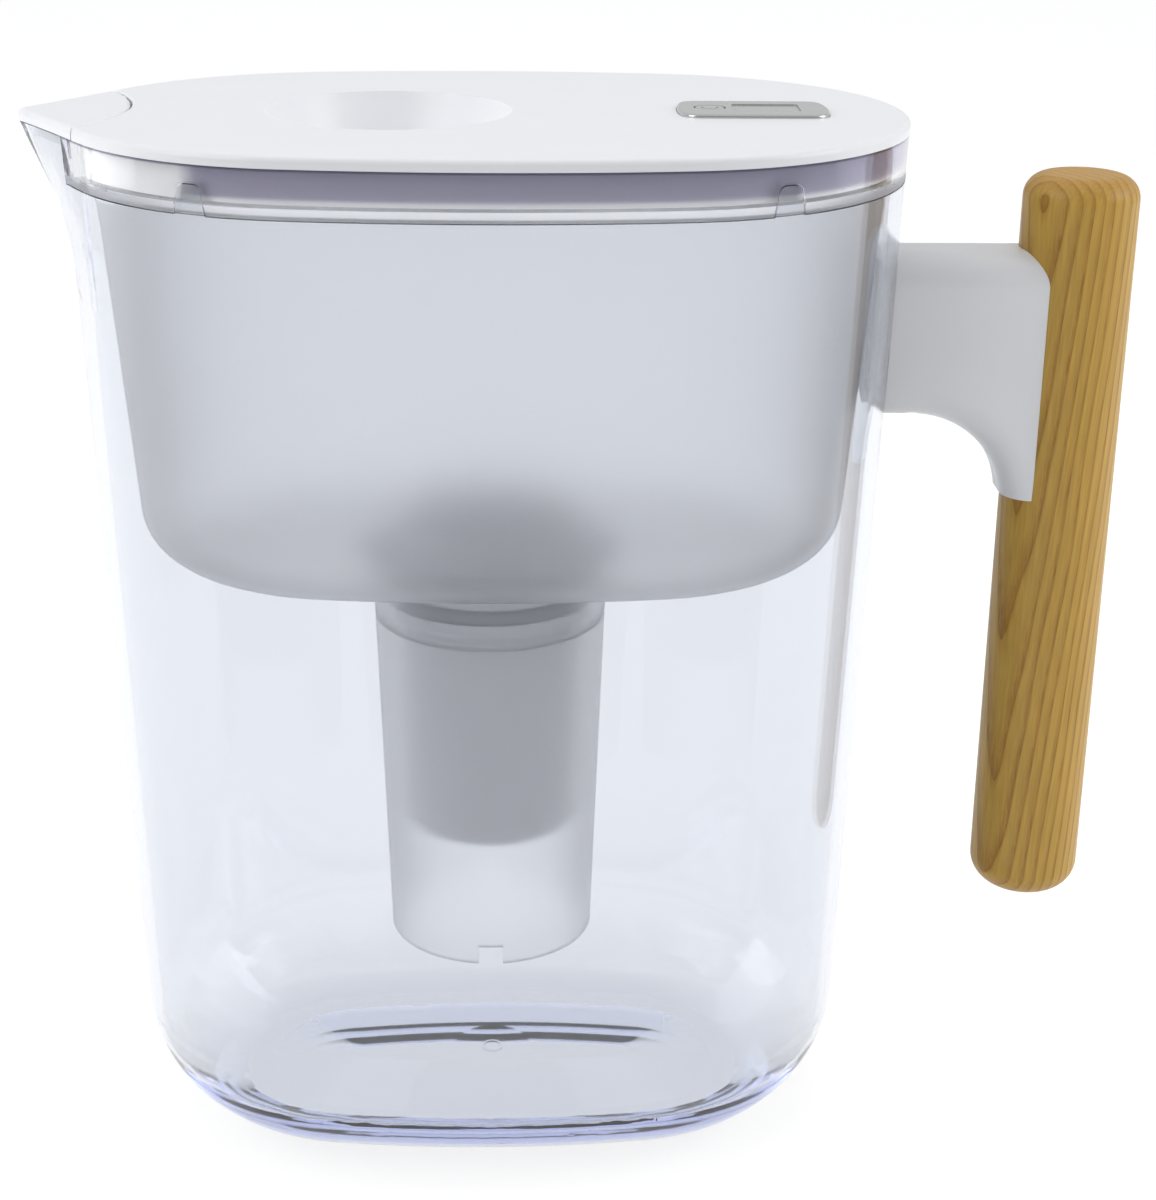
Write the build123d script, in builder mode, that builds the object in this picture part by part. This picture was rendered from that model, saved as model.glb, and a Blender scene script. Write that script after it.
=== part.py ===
from build123d import *
from math import atan2, cos, degrees, hypot, radians, sin, sqrt, tan
import os

# A ten-cup water filter pitcher: a clear oval jug, a frosted hopper that hangs in its
# mouth and holds the filter cartridge, a white lid with a pouring flap and a refill
# door, a use counter let into the lid, and a wooden grip on a short plastic arm.
# +X points to the grip, -X to the spout, +Z up. The origin is the middle of the foot.

# Jug
rim_height = 255.8
rim_half_length = 101.6
rim_half_depth = 68.0
side_swell = 2.5
wall_draft = 1.8
jug_wall = 3.0
floor_level = 8.5
floor_round = 22.0
base_round = 35.5
foot_trim = 1.4
foot_ring_width = 5.8
kickup_height = 3.4
kickup_flat_half_depth = 5.0
kickup_round = 8.0
gate_ring_radius = 2.9
gate_ring_width = 0.6
gate_ring_height = 0.4
gate_dimple_radius = 10.5
gate_dimple_depth = 0.4

# Spout
spout_height = 39.2
spout_curve = 58.0
spout_lean = 21.0
spout_spread = 30.0
spout_tip_half_width = 1.7
spout_tip_depth = 0.5
spout_wall_half_width = 22.8
spout_wall_length = 16.6

# Locating tabs that stand on the rim
spout_tab_inset = 36.8
grip_tab_inset = 34.2
tab_base_width = 7.0
tab_top_width = 4.6
tab_height = 6.9
tab_round = 1.6
tab_depth = 1.7

# Joint lines and clearances
seam_gap = 0.3
fit_gap = 0.15
pin_gap = 0.05

# Lid
lid_thickness = 2.8
lid_overhang = 0.5
lid_edge_round = 1.5
skirt_depth = 8.3
skirt_wall = 1.8
skirt_gap = 0.5
skirt_end_setback = 5.0

# Hopper
band_height = 11.1
ledge_thickness = 2.0
band_end_web = 1.5
band_end_reach = 10.0
band_end_drop = 1.7
hopper_inset = 5.4
hopper_setback = 1.0
hopper_draft = 4.5
hopper_depth = 96.9
hopper_wall = 2.0
hopper_round = 15.0

# Socket for the cartridge
socket_length = 108.8
socket_top_radius = 30.4
socket_foot_radius = 27.1
socket_wall = 1.8
socket_root_round = 4.0
seat_radius = 26.3
seat_depth = 17.7
seat_ring_radius = 24.2
seat_ring_height = 3.0
vent_width = 6.4
vent_height = 5.0

# Filter cartridge
cartridge_length = 61.5
cartridge_foot_radius = 22.0
cartridge_top_radius = 23.4
cartridge_wall = 1.6
cartridge_floor = 1.8
cartridge_foot_round = 3.0
shoulder_radius = 25.6
shoulder_thickness = 3.0
neck_radius = 23.6
neck_height = 4.0
seal_radius = 26.0
seal_thickness = 3.6
cap_height = 18.0
cap_radius = 25.2
cap_draft = 3.0
cap_round = 6.0
cap_wall = 1.6
cap_slots = 20
cap_slot_width = 2.0
cap_slot_height = 8.0
cap_slot_rise = 4.0
cap_grip_length = 24.0
cap_grip_width = 3.2
cap_grip_height = 4.5
mesh_thickness = 0.6
foot_slots = 12
foot_slot_width = 2.0
foot_slot_length = 10.0
foot_slot_centre = 12.5
media_gap = 0.15

# Refill dish in the lid, and its door
dish_centre = -24.0
dish_radius = 30.0
dish_floor_radius = 23.5
dish_depth = 13.0
dish_wall = 2.0
dish_corner_round = 4.0
dish_rim_round = 0.8
refill_radius = 17.5
door_overlap = 2.6
door_thickness = 1.8
door_pin_radius = 1.25
door_pin_reach = 24.0
door_pin_drop = 3.2
door_knuckle_radius = 2.5
door_knuckle_width = 3.5
door_lug_width = 3.0
door_spring_radius = 2.0
door_spring_wire = 0.6
door_leg_radius = 0.22
door_leg_length = 9.0
door_leg_rise = 16.0
door_stub_length = 2.0
door_spring_length = 9.0

# Pouring flap
flap_inset = 14.8
flap_rear_radius = 54.9
flap_pivot_setback = 4.2
flap_pivot_drop = 1.0
flap_pin_radius = 0.6
flap_pin_length = 2.6
flap_gap = 0.6
flap_edge_round = 0.9
flap_seat_bevel = 0.3
flap_rib_gap = 0.9
flap_rib_width = 1.2
flap_rib_depth = 3.0
flap_rib_inset = 4.1
well_wall = 1.6
well_depth = 6.2
well_lip = 3.2

# Use counter in the lid
counter_inset = 37.3
counter_length = 36.9
counter_width = 22.0
counter_bow = 1.6
counter_corner = 4.5
counter_proud = 0.9
counter_border = 2.0
bezel_thickness = 1.9
window_offset = 3.0
window_length = 16.6
window_width = 11.2
window_corner = 1.0
window_flange = 0.8
window_flange_thickness = 0.8
display_thickness = 1.2
strip_width = 1.6
button_offset = -10.5
button_radius = 3.6
button_flange = 0.5
button_flange_thickness = 0.8
button_stem_radius = 1.5
button_travel = 0.6
dome_radius = 2.5
dome_thickness = 0.4
tray_length = 45.0
tray_width = 25.0
tray_corner = 4.0
tray_height = 9.0
tray_wall = 1.4
gasket_thickness = 1.0
gasket_width = 1.8
board_thickness = 1.6
board_margin = 0.3
board_post_radius = 1.6
board_post_spread = 6.0
cell_offset = 5.0
cell_radius = 10.0
cell_thickness = 3.2
cell_contact_thickness = 0.3
cell_contact_width = 5.0
tray_screw_inset = 4.3
tray_screw_radius = 1.0
tray_screw_head_radius = 1.8
tray_screw_head_height = 1.2
tray_screw_length = 7.0
screw_boss_radius = 2.4

# Handle
grip_radius = 14.3
grip_length = 195.2
grip_reach = 44.9
grip_rise = 18.4
grip_top_round = 5.8
grip_foot_round = 8.0
arm_drop = 18.8
arm_depth = 41.7
arm_tip_depth = 63.0
arm_half_width = 11.5
arm_round = 8.0
arm_bow = 24.5
arm_wall = 3.0
saddle_wall = 5.0
rail_depth = 6.5
rail_neck_width = 9.0
rail_head_width = 14.0
rail_head_thickness = 2.6
rail_foot_rise = 4.2
arm_lip = 1.0
arm_pocket_round = 4.0
grip_screw_radius = 2.0
grip_screw_length = 22.0
grip_screw_head_radius = 4.0
grip_screw_head_height = 2.4
grip_screw_drop = 21.0
grip_screw_spacing = 20.0
grip_pilot_spare = 2.0

# Levels and places that follow from the sizes above
rim_end_radius = rim_half_depth - side_swell
foot_run = base_round - sqrt(base_round**2 - (base_round - foot_trim) ** 2)
kickup_inset = rim_height * tan(radians(wall_draft)) + foot_run + foot_ring_width
kickup_run = rim_half_depth - kickup_inset - kickup_flat_half_depth
band_bottom = rim_height + seam_gap
ledge_top = band_bottom + ledge_thickness
lid_underside = band_bottom + band_height
lid_top = lid_underside + lid_thickness
spout_root_height = lid_underside - spout_height
spout_wall_back = rim_half_length - spout_wall_length
hopper_floor = band_bottom - hopper_depth
pan_floor = hopper_floor + hopper_wall
socket_foot = hopper_floor - socket_length
seat_level = pan_floor - seat_depth
shoulder_level = seat_level
cartridge_foot = shoulder_level - cartridge_length
neck_level = shoulder_level + shoulder_thickness
cap_level = neck_level + neck_height
dish_floor = lid_top - dish_depth
dish_underside = dish_floor - dish_wall
door_pin_level = dish_underside - door_pin_drop
door_pin_x = dish_centre + door_pin_reach
door_top = dish_underside - seam_gap
door_knuckle_start = door_spring_length / 2 + seam_gap
door_lug_start = door_knuckle_start + door_knuckle_width + seam_gap
flap_rear = flap_inset - rim_half_length
flap_pivot_x = flap_rear - flap_pivot_setback
flap_pivot_level = lid_top - flap_pivot_drop
flap_rib_reach = rim_half_length - flap_rib_inset
flap_half_span = sqrt(flap_rear_radius**2 - (flap_rear_radius - flap_pivot_setback) ** 2)
counter_centre = rim_half_length - counter_inset
bezel_top = lid_top + counter_proud
bezel_underside = bezel_top - bezel_thickness
window_underside = bezel_underside - window_flange_thickness
display_underside = window_underside - display_thickness
tray_top = lid_underside - gasket_thickness
tray_foot = tray_top - tray_height
tray_floor = tray_foot + tray_wall
cell_top = tray_floor + cell_thickness
board_underside = cell_top + cell_contact_thickness
board_top = board_underside + board_thickness
button_x = counter_centre + button_offset
window_x = counter_centre + window_offset
cell_x = counter_centre + cell_offset
grip_axis = rim_half_length + grip_reach
arm_end = grip_axis - grip_radius
arm_top = rim_height - arm_drop
arm_underside = arm_top - arm_depth
arm_tip = arm_top - arm_tip_depth
grip_foot = arm_top + grip_rise - grip_length
grip_screw_height = arm_top - grip_screw_drop
rail_foot = arm_underside + rail_foot_rise
rail_root = rim_half_length - jug_wall
rail_face = rim_half_length + rail_depth
rail_head_back = rail_face - rail_head_thickness
rail_top = arm_top - arm_wall - fit_gap
saddle_face = arm_end - saddle_wall
gate_dimple_sphere = (gate_dimple_radius**2 + gate_dimple_depth**2) / (2 * gate_dimple_depth)
spout_point = 1 / sin(radians(90 - spout_spread)) - 1
spout_levels = [
    spout_root_height + (lid_underside - spout_root_height) * step / 4 for step in range(5)
]
tray_screw_places = [
    (counter_centre + side * (tray_length / 2 - tray_screw_inset), end * (tray_width / 2 - tray_screw_inset))
    for side in (-1, 1)
    for end in (-1, 1)
]
on_foot = (Align.CENTER, Align.CENTER, Align.MIN)
from_top = (Align.CENTER, Align.CENTER, Align.MAX)


def jug_inset(level):
    """How far the drafted jug wall stands inside its own rim outline at a level."""
    return (rim_height - level) * tan(radians(wall_draft))


def oval_joint(half_length, half_depth, end_radius):
    """Where the end arc of a four-centred oval runs into its flatter side arc."""
    end_centre = half_length - end_radius
    side_swell = half_depth - end_radius
    side_centre = (end_centre**2 - side_swell**2) / (2 * side_swell)
    share = end_radius / hypot(end_centre, side_centre)
    return end_centre * (1 + share), side_centre * share


def oval(half_length, half_depth, end_radius):
    """Four-centred oval: two end arcs run smoothly into two flatter side arcs."""
    x, y = oval_joint(half_length, half_depth, end_radius)
    with BuildSketch() as outline:
        with BuildLine():
            ThreePointArc((x, -y), (half_length, 0), (x, y))
            ThreePointArc((x, y), (0, half_depth), (-x, y))
            ThreePointArc((-x, y), (-half_length, 0), (-x, -y))
            ThreePointArc((-x, -y), (0, -half_depth), (x, -y))
        make_face()
    return outline.sketch


def rim_oval(inset):
    """The rim outline, drawn in on every side by one distance."""
    return oval(rim_half_length - inset, rim_half_depth - inset, rim_end_radius - inset)


def spout_reach(level):
    """How far the spout stands past the oval: a curve away from the wall, then a lean."""
    rise = level - spout_root_height
    curve_rise = spout_curve * sin(radians(spout_lean))
    if rise <= 0:
        return 0
    if rise < curve_rise:
        return spout_curve - sqrt(spout_curve**2 - rise**2)
    curve_reach = spout_curve * (1 - cos(radians(spout_lean)))
    return curve_reach + (rise - curve_rise) * tan(radians(spout_lean))


def spouted_oval(inset, reach, tip_depth):
    """The rim outline drawn in by inset, with its spout end drawn out to a rounded point
    whose sides leave the end arc at a tangent."""
    half_length = rim_half_length - inset
    half_depth = rim_half_depth - inset
    end_radius = rim_end_radius - inset
    end_centre = half_length - end_radius
    x, y = oval_joint(half_length, half_depth, end_radius)
    spread = radians(spout_spread)
    half_turn = (spread + atan2(y, x - end_centre)) / 2
    shoulder_x = -end_centre - end_radius * cos(half_turn)
    shoulder_y = end_radius * sin(half_turn)
    leave = Vector(-end_centre - end_radius * cos(spread), end_radius * sin(spread))
    tip = -half_length - reach
    corner = Vector(tip + tip_depth, spout_tip_half_width)
    chord = corner - leave
    side_turn = spread - atan2(-chord.X, -chord.Y)
    outward = Vector(chord.Y, -chord.X).normalized()
    side = (leave + corner) * 0.5 + outward * (chord.length / 2 * tan(side_turn / 2))
    with BuildSketch() as outline:
        with BuildLine():
            ThreePointArc((x, -y), (half_length, 0), (x, y))
            ThreePointArc((x, y), (0, half_depth), (-x, y))
            ThreePointArc((-x, y), (shoulder_x, shoulder_y), (leave.X, leave.Y))
            ThreePointArc((leave.X, leave.Y), (side.X, side.Y), (corner.X, corner.Y))
            ThreePointArc((corner.X, corner.Y), (tip, 0), (corner.X, -corner.Y))
            ThreePointArc((corner.X, -corner.Y), (side.X, -side.Y), (leave.X, -leave.Y))
            ThreePointArc((leave.X, -leave.Y), (shoulder_x, -shoulder_y), (-x, -y))
            ThreePointArc((-x, -y), (0, -half_depth), (x, -y))
        make_face()
    return outline.sketch


def spout_section(level, inset):
    """The jug's outline at a level, with the spout as far out as it stands there."""
    drawn_in = jug_inset(level) + inset
    end_radius = rim_end_radius - drawn_in
    plain_depth = end_radius - sqrt(end_radius**2 - spout_tip_half_width**2)
    share = spout_reach(level) / spout_reach(lid_underside)
    tip_depth = plain_depth + (spout_tip_depth - plain_depth) * share
    return spouted_oval(drawn_in, spout_reach(level) - inset * spout_point * share, tip_depth)


def lid_outline():
    """The lid's plan, with the pointed end that the pouring flap completes."""
    return spouted_oval(-lid_overhang, spout_reach(lid_underside), spout_tip_depth)


def hopper_oval(level, inset):
    """The outline of the hopper's drafted wall at a level, set back from the spout."""
    drawn_in = hopper_inset + (band_bottom - level) * tan(radians(hopper_draft)) + inset
    return Pos(hopper_setback, 0) * rim_oval(drawn_in)


def tab_outline(gap):
    """Front view of one locating tab, its foot on the origin and sunk a little below it."""
    foot = tab_base_width / 2 + gap
    head = tab_top_width / 2 + gap
    with BuildSketch() as outline:
        with BuildLine():
            Polyline(
                (-foot, -tab_height / 2),
                (-foot, 0),
                (-head, tab_height + gap),
                (head, tab_height + gap),
                (foot, 0),
                (foot, -tab_height / 2),
                close=True,
            )
        make_face()
        fillet(outline.vertices().group_by(Axis.Y)[-1], tab_round + gap)
    return outline.sketch


def both_tabs(gap):
    """Front view of the left and right tabs where they stand on the rim."""
    outline = tab_outline(gap)
    left = Pos(spout_tab_inset - rim_half_length, rim_height) * outline
    right = Pos(rim_half_length - grip_tab_inset, rim_height) * outline
    return left + right


def counter_plate(shrink):
    """Plan of the use counter's plate, with bowed ends, drawn in on every side."""
    half_length = counter_length / 2 - shrink
    half_width = counter_width / 2 - shrink
    with BuildSketch() as outline:
        with BuildLine():
            right = half_length - counter_bow
            ThreePointArc((right, -half_width), (half_length, 0), (right, half_width))
            Line((right, half_width), (-right, half_width))
            ThreePointArc((-right, half_width), (-half_length, 0), (-right, -half_width))
            Line((-right, -half_width), (right, -half_width))
        make_face()
        fillet(outline.vertices(), counter_corner - shrink)
    return Pos(counter_centre, 0) * outline.sketch


def finish(piece, name):
    """Names a finished piece and writes it."""
    piece.part.label = name
    export_step(piece.part, f"parts/{name}.step")


os.makedirs("parts", exist_ok=True)

# The shallow dome under the foot, inside the ring that the jug stands on
with BuildPart() as kickup:
    with BuildSketch():
        add(rim_oval(kickup_inset))
    extrude(amount=kickup_height, taper=degrees(atan2(kickup_run, kickup_height)))
    fillet(kickup.edges().group_by(Axis.Z)[-1], kickup_round)

# The whole outside of the jug, spout included, and the whole space inside it
with BuildPart() as jug_outside:
    with BuildSketch(Plane.XY.offset(-foot_trim)):
        add(rim_oval(jug_inset(-foot_trim)))
    extrude(amount=spout_root_height + foot_trim, taper=-wall_draft)
    fillet(jug_outside.edges().group_by(Axis.Z)[0], base_round)
    for level in spout_levels:
        with BuildSketch(Plane.XY.offset(level)):
            add(spout_section(level, 0))
    loft()

with BuildPart() as jug_inside:
    with BuildSketch(Plane.XY.offset(floor_level)):
        add(rim_oval(jug_inset(floor_level) + jug_wall))
    extrude(amount=spout_root_height - floor_level, taper=-wall_draft)
    fillet(jug_inside.edges().group_by(Axis.Z)[0], floor_round)
    for level in spout_levels:
        with BuildSketch(Plane.XY.offset(level)):
            add(spout_section(level, jug_wall))
    loft()

# The shallow hollow round the moulding gate in the middle of the floor
with BuildPart() as gate_dimple:
    with Locations((0, 0, floor_level - gate_dimple_depth + gate_dimple_sphere)):
        Sphere(gate_dimple_sphere)
    with Locations((0, 0, floor_level)):
        Cylinder(gate_dimple_radius, 2 * gate_dimple_depth, mode=Mode.INTERSECT)

# Jug: a clear body with its spout wall, four tabs on the rim and a rail for the arm
with BuildPart() as jug:
    add(jug_outside.part)
    split(bisect_by=Plane.XY, keep=Keep.TOP)
    split(bisect_by=Plane.XY.offset(lid_underside - seam_gap), keep=Keep.BOTTOM)
    add(kickup.part, mode=Mode.SUBTRACT)
    add(jug_inside.part, mode=Mode.SUBTRACT)
    with BuildSketch(Plane.XZ):
        with Locations((-spout_wall_back, rim_height)):
            Rectangle(3 * rim_half_length, 2 * band_height, align=(Align.MIN, Align.MIN))
        add(both_tabs(0), mode=Mode.SUBTRACT)
    extrude(amount=2 * rim_half_depth, both=True, mode=Mode.SUBTRACT)
    with BuildSketch(Plane.YZ.offset(-spout_wall_back)):
        with Locations((spout_wall_half_width, rim_height)):
            Rectangle(rim_half_depth, 2 * band_height, align=(Align.MIN, Align.MIN))
        with Locations((-spout_wall_half_width, rim_height)):
            Rectangle(rim_half_depth, 2 * band_height, align=(Align.MAX, Align.MIN))
    extrude(amount=-rim_half_length, mode=Mode.SUBTRACT)
    with BuildSketch(Plane.XY.offset(rim_height)):
        add(rim_oval(tab_depth))
        with Locations((-spout_wall_back, 0)):
            Rectangle(
                3 * rim_half_length,
                2 * rim_half_depth,
                align=(Align.MIN, Align.CENTER),
                mode=Mode.INTERSECT,
            )
    extrude(amount=band_height, mode=Mode.SUBTRACT)
    add(gate_dimple.part, mode=Mode.SUBTRACT)
    with BuildSketch(Plane.XY.offset(floor_level - gate_dimple_depth)):
        Circle(gate_ring_radius)
        Circle(gate_ring_radius - gate_ring_width, mode=Mode.SUBTRACT)
    extrude(amount=gate_ring_height)
    with BuildSketch(Plane.XY.offset(rail_foot)):
        with Locations((rail_root, 0)):
            Rectangle(rail_face - rail_root, rail_neck_width, align=(Align.MIN, Align.CENTER))
        with Locations((rail_head_back, 0)):
            Rectangle(rail_head_thickness, rail_head_width, align=(Align.MIN, Align.CENTER))
    extrude(amount=rail_top - rail_foot)

finish(jug, "jug")

# The space above the hopper's ledge and inside its band
with BuildPart() as band_inside:
    add(jug_inside.part)
    split(bisect_by=Plane.XY.offset(ledge_top), keep=Keep.TOP)

# The room that the band leaves around the tabs
with BuildPart() as tab_notches:
    with BuildSketch(Plane.XZ):
        add(both_tabs(seam_gap))
    extrude(amount=2 * rim_half_depth, both=True)
    with BuildSketch(Plane.XY.offset(rim_height - band_height)):
        add(rim_oval(tab_depth + seam_gap))
    extrude(amount=2 * band_height, mode=Mode.SUBTRACT)

# The hopper's drafted trough, outside and inside
with BuildPart() as hopper_outside:
    with BuildSketch(Plane.XY.offset(hopper_floor)):
        add(hopper_oval(hopper_floor, 0))
    extrude(amount=ledge_top - hopper_floor, taper=-hopper_draft)
    fillet(hopper_outside.edges().group_by(Axis.Z)[0], hopper_round)

with BuildPart() as hopper_inside:
    with BuildSketch(Plane.XY.offset(pan_floor)):
        add(hopper_oval(pan_floor, hopper_wall))
    extrude(amount=ledge_top - pan_floor, taper=-hopper_draft)
    fillet(hopper_inside.edges().group_by(Axis.Z)[0], hopper_round - hopper_wall)

# Hopper: rim band, ledge on the jug's rim, trough, and the long socket below it
with BuildPart() as hopper:
    add(jug_outside.part)
    split(bisect_by=Plane.XY.offset(band_bottom), keep=Keep.TOP)
    add(band_inside.part, mode=Mode.SUBTRACT)
    with BuildSketch(Plane.XY.offset(band_bottom)):
        with Locations((-spout_wall_back, 0)):
            Rectangle(
                rim_half_length,
                2 * (spout_wall_half_width + seam_gap),
                align=(Align.MAX, Align.CENTER),
            )
        add(hopper_oval(band_bottom, 0), mode=Mode.SUBTRACT)
    extrude(amount=band_height, mode=Mode.SUBTRACT)
    with BuildSketch(Plane.XY.offset(ledge_top)):
        add(hopper_oval(band_bottom, 0))
        add(hopper_oval(band_bottom, hopper_wall), mode=Mode.SUBTRACT)
        with Locations((-rim_half_length, 0)):
            Rectangle(
                spout_wall_length + band_end_reach,
                2 * (spout_wall_half_width + seam_gap + band_end_web),
                mode=Mode.INTERSECT,
            )
    extrude(amount=lid_underside - band_end_drop - ledge_top)
    with BuildSketch(Plane.XY.offset(band_bottom)):
        add(rim_oval(0.5))
        add(hopper_oval(band_bottom, hopper_wall), mode=Mode.SUBTRACT)
        with Locations((-spout_wall_back, 0)):
            Rectangle(
                rim_half_length,
                2 * (spout_wall_half_width + seam_gap + band_end_web),
                align=(Align.MAX, Align.CENTER),
                mode=Mode.INTERSECT,
            )
            Rectangle(
                rim_half_length,
                2 * (spout_wall_half_width + seam_gap),
                align=(Align.MAX, Align.CENTER),
                mode=Mode.SUBTRACT,
            )
    extrude(amount=band_height)
    add(tab_notches.part, mode=Mode.SUBTRACT)
    add(hopper_outside.part)
    add(hopper_inside.part, mode=Mode.SUBTRACT)
    with Locations((0, 0, hopper_floor)):
        Cylinder(seat_radius, hopper_wall, align=on_foot, mode=Mode.SUBTRACT)
    with BuildSketch(Plane.XZ):
        with BuildLine():
            root = CenterArc(
                (socket_top_radius + socket_root_round, hopper_floor - socket_root_round),
                socket_root_round,
                90,
                90,
            )
            Polyline(
                root @ 1,
                (socket_foot_radius, socket_foot),
                (socket_foot_radius - socket_wall, socket_foot),
                (socket_top_radius - socket_wall, seat_level - seat_ring_height),
                (seat_ring_radius, seat_level - seat_ring_height),
                (seat_ring_radius, seat_level),
                (seat_radius, seat_level),
                (seat_radius, pan_floor),
                (socket_top_radius + socket_root_round, pan_floor),
                root @ 0,
            )
        make_face()
    revolve(axis=Axis.Z)
    with BuildSketch(Plane.XZ):
        with Locations((0, socket_foot)):
            Rectangle(vent_width, 2 * vent_height)
    extrude(amount=socket_top_radius, both=True, mode=Mode.SUBTRACT)

finish(hopper, "hopper")

# Filter cartridge: a drafted cup with a slotted foot and a stepped shoulder
with BuildPart() as cartridge_body:
    with BuildSketch(Plane.XZ) as cup:
        with BuildLine():
            Polyline(
                (0, cartridge_foot),
                (cartridge_foot_radius, cartridge_foot),
                (cartridge_top_radius, shoulder_level),
                (shoulder_radius, shoulder_level),
                (shoulder_radius, neck_level),
                (neck_radius, neck_level),
                (neck_radius, cap_level),
                (neck_radius - cartridge_wall, cap_level),
                (cartridge_foot_radius - cartridge_wall, cartridge_foot + cartridge_floor),
                (0, cartridge_foot + cartridge_floor),
                close=True,
            )
        make_face()
        corner = cup.vertices().group_by(Axis.Y)[0].sort_by(Axis.X)[-1]
        fillet(corner, cartridge_foot_round)
    revolve(axis=Axis.Z)
    with BuildSketch(Plane.XY.offset(cartridge_foot)):
        with PolarLocations(foot_slot_centre, foot_slots):
            SlotOverall(foot_slot_length, foot_slot_width)
    extrude(amount=cartridge_floor, mode=Mode.SUBTRACT)

finish(cartridge_body, "cartridge_body")

media_foot = cartridge_foot + cartridge_floor + mesh_thickness
media_foot_radius = cartridge_foot_radius - cartridge_wall - media_gap
media_top = cap_level - 2 * mesh_thickness
media_top_radius = neck_radius - cartridge_wall - 2 * media_gap

with BuildPart() as foot_mesh:
    with Locations((0, 0, media_foot)):
        Cylinder(media_foot_radius, mesh_thickness, align=from_top)

finish(foot_mesh, "foot_mesh")

with BuildPart() as filter_media:
    with Locations((0, 0, media_foot)):
        Cone(media_foot_radius, media_top_radius, media_top - media_foot, align=on_foot)

finish(filter_media, "filter_media")

with BuildPart() as top_mesh:
    with Locations((0, 0, media_top)):
        Cylinder(media_top_radius, mesh_thickness, align=on_foot)

finish(top_mesh, "top_mesh")

with BuildPart() as cartridge_seal:
    with Locations((0, 0, (neck_level + cap_level) / 2)):
        Cylinder(seal_radius, seal_thickness)
        Cylinder(neck_radius + pin_gap, seal_thickness, mode=Mode.SUBTRACT)
    outer_edges = cartridge_seal.edges().filter_by(GeomType.CIRCLE).sort_by(SortBy.RADIUS)[-2:]
    fillet(outer_edges, seal_thickness / 3)

finish(cartridge_seal, "cartridge_seal")

# Cartridge cap: a slotted dome with a finger grip across its top
with BuildPart() as cap_inside:
    with BuildSketch(Plane.XY.offset(cap_level)):
        Circle(cap_radius - cap_wall)
    extrude(amount=cap_height - cap_wall, taper=cap_draft)
    fillet(cap_inside.edges().group_by(Axis.Z)[-1], cap_round - cap_wall)

with BuildPart() as cartridge_cap:
    with BuildSketch(Plane.XY.offset(cap_level)):
        Circle(cap_radius)
    extrude(amount=cap_height, taper=cap_draft)
    fillet(cartridge_cap.edges().group_by(Axis.Z)[-1], cap_round)
    add(cap_inside.part, mode=Mode.SUBTRACT)
    with BuildSketch(Plane.XY.offset(cap_level)):
        Circle(cap_radius - cap_wall / 2)
        Circle(neck_radius - cartridge_wall, mode=Mode.SUBTRACT)
    extrude(amount=cap_wall)
    with PolarLocations(cap_radius, cap_slots):
        with Locations((0, 0, cap_level + cap_slot_rise)):
            Box(3 * cap_wall, cap_slot_width, cap_slot_height, align=on_foot, mode=Mode.SUBTRACT)
    with BuildSketch(Plane.XY.offset(cap_level + cap_height - cap_wall)):
        SlotOverall(cap_grip_length, cap_grip_width)
    extrude(amount=cap_wall + cap_grip_height)
    fillet(cartridge_cap.edges().group_by(Axis.Z)[-1], cap_grip_width / 4)

finish(cartridge_cap, "cartridge_cap")

# The lid's whole top plate before the pouring flap is parted from it
with BuildPart() as lid_blank:
    with BuildSketch(Plane.XY.offset(lid_underside)):
        add(lid_outline())
    extrude(amount=lid_thickness)
    fillet(lid_blank.edges().group_by(Axis.Z)[-1], lid_edge_round)

dish_slope = (dish_radius - dish_floor_radius) / dish_depth
dish_wall_run = dish_wall * sqrt(1 + dish_slope**2)

# The whole outer shape of the refill dish, and the shell that stays of it
dish_axis = Axis((dish_centre, 0, 0), (0, 0, 1))
dish_foot_radius = dish_floor_radius - dish_wall * dish_slope + dish_wall_run

with BuildPart() as dish_outside:
    with BuildSketch(Plane.XZ) as bowl:
        with BuildLine():
            Polyline(
                (dish_centre, dish_underside),
                (dish_centre + dish_foot_radius, dish_underside),
                (dish_centre + dish_radius + dish_wall_run, lid_top),
                (dish_centre, lid_top),
                close=True,
            )
        make_face()
        fillet(bowl.vertices().group_by(Axis.Y)[0].sort_by(Axis.X)[-1], dish_corner_round + dish_wall)
    revolve(axis=dish_axis)

with BuildPart() as dish:
    with BuildSketch(Plane.XZ) as shell:
        with BuildLine():
            Polyline(
                (dish_centre + refill_radius, dish_floor),
                (dish_centre + refill_radius, dish_underside),
                (dish_centre + dish_foot_radius, dish_underside),
                (dish_centre + dish_radius + dish_wall_run, lid_top),
                (dish_centre + dish_radius, lid_top),
                (dish_centre + dish_floor_radius, dish_floor),
                close=True,
            )
        make_face()
        levels = shell.vertices().group_by(Axis.Y)
        outer_corner = levels[0].sort_by(Axis.X)[-1]
        inner_corner = levels[1].sort_by(Axis.X)[-1]
        rim_corner = levels[2].sort_by(Axis.X)[0]
        fillet(outer_corner, dish_corner_round + dish_wall)
        fillet(inner_corner, dish_corner_round)
        fillet(rim_corner, dish_rim_round)
    revolve(axis=dish_axis)

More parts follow.
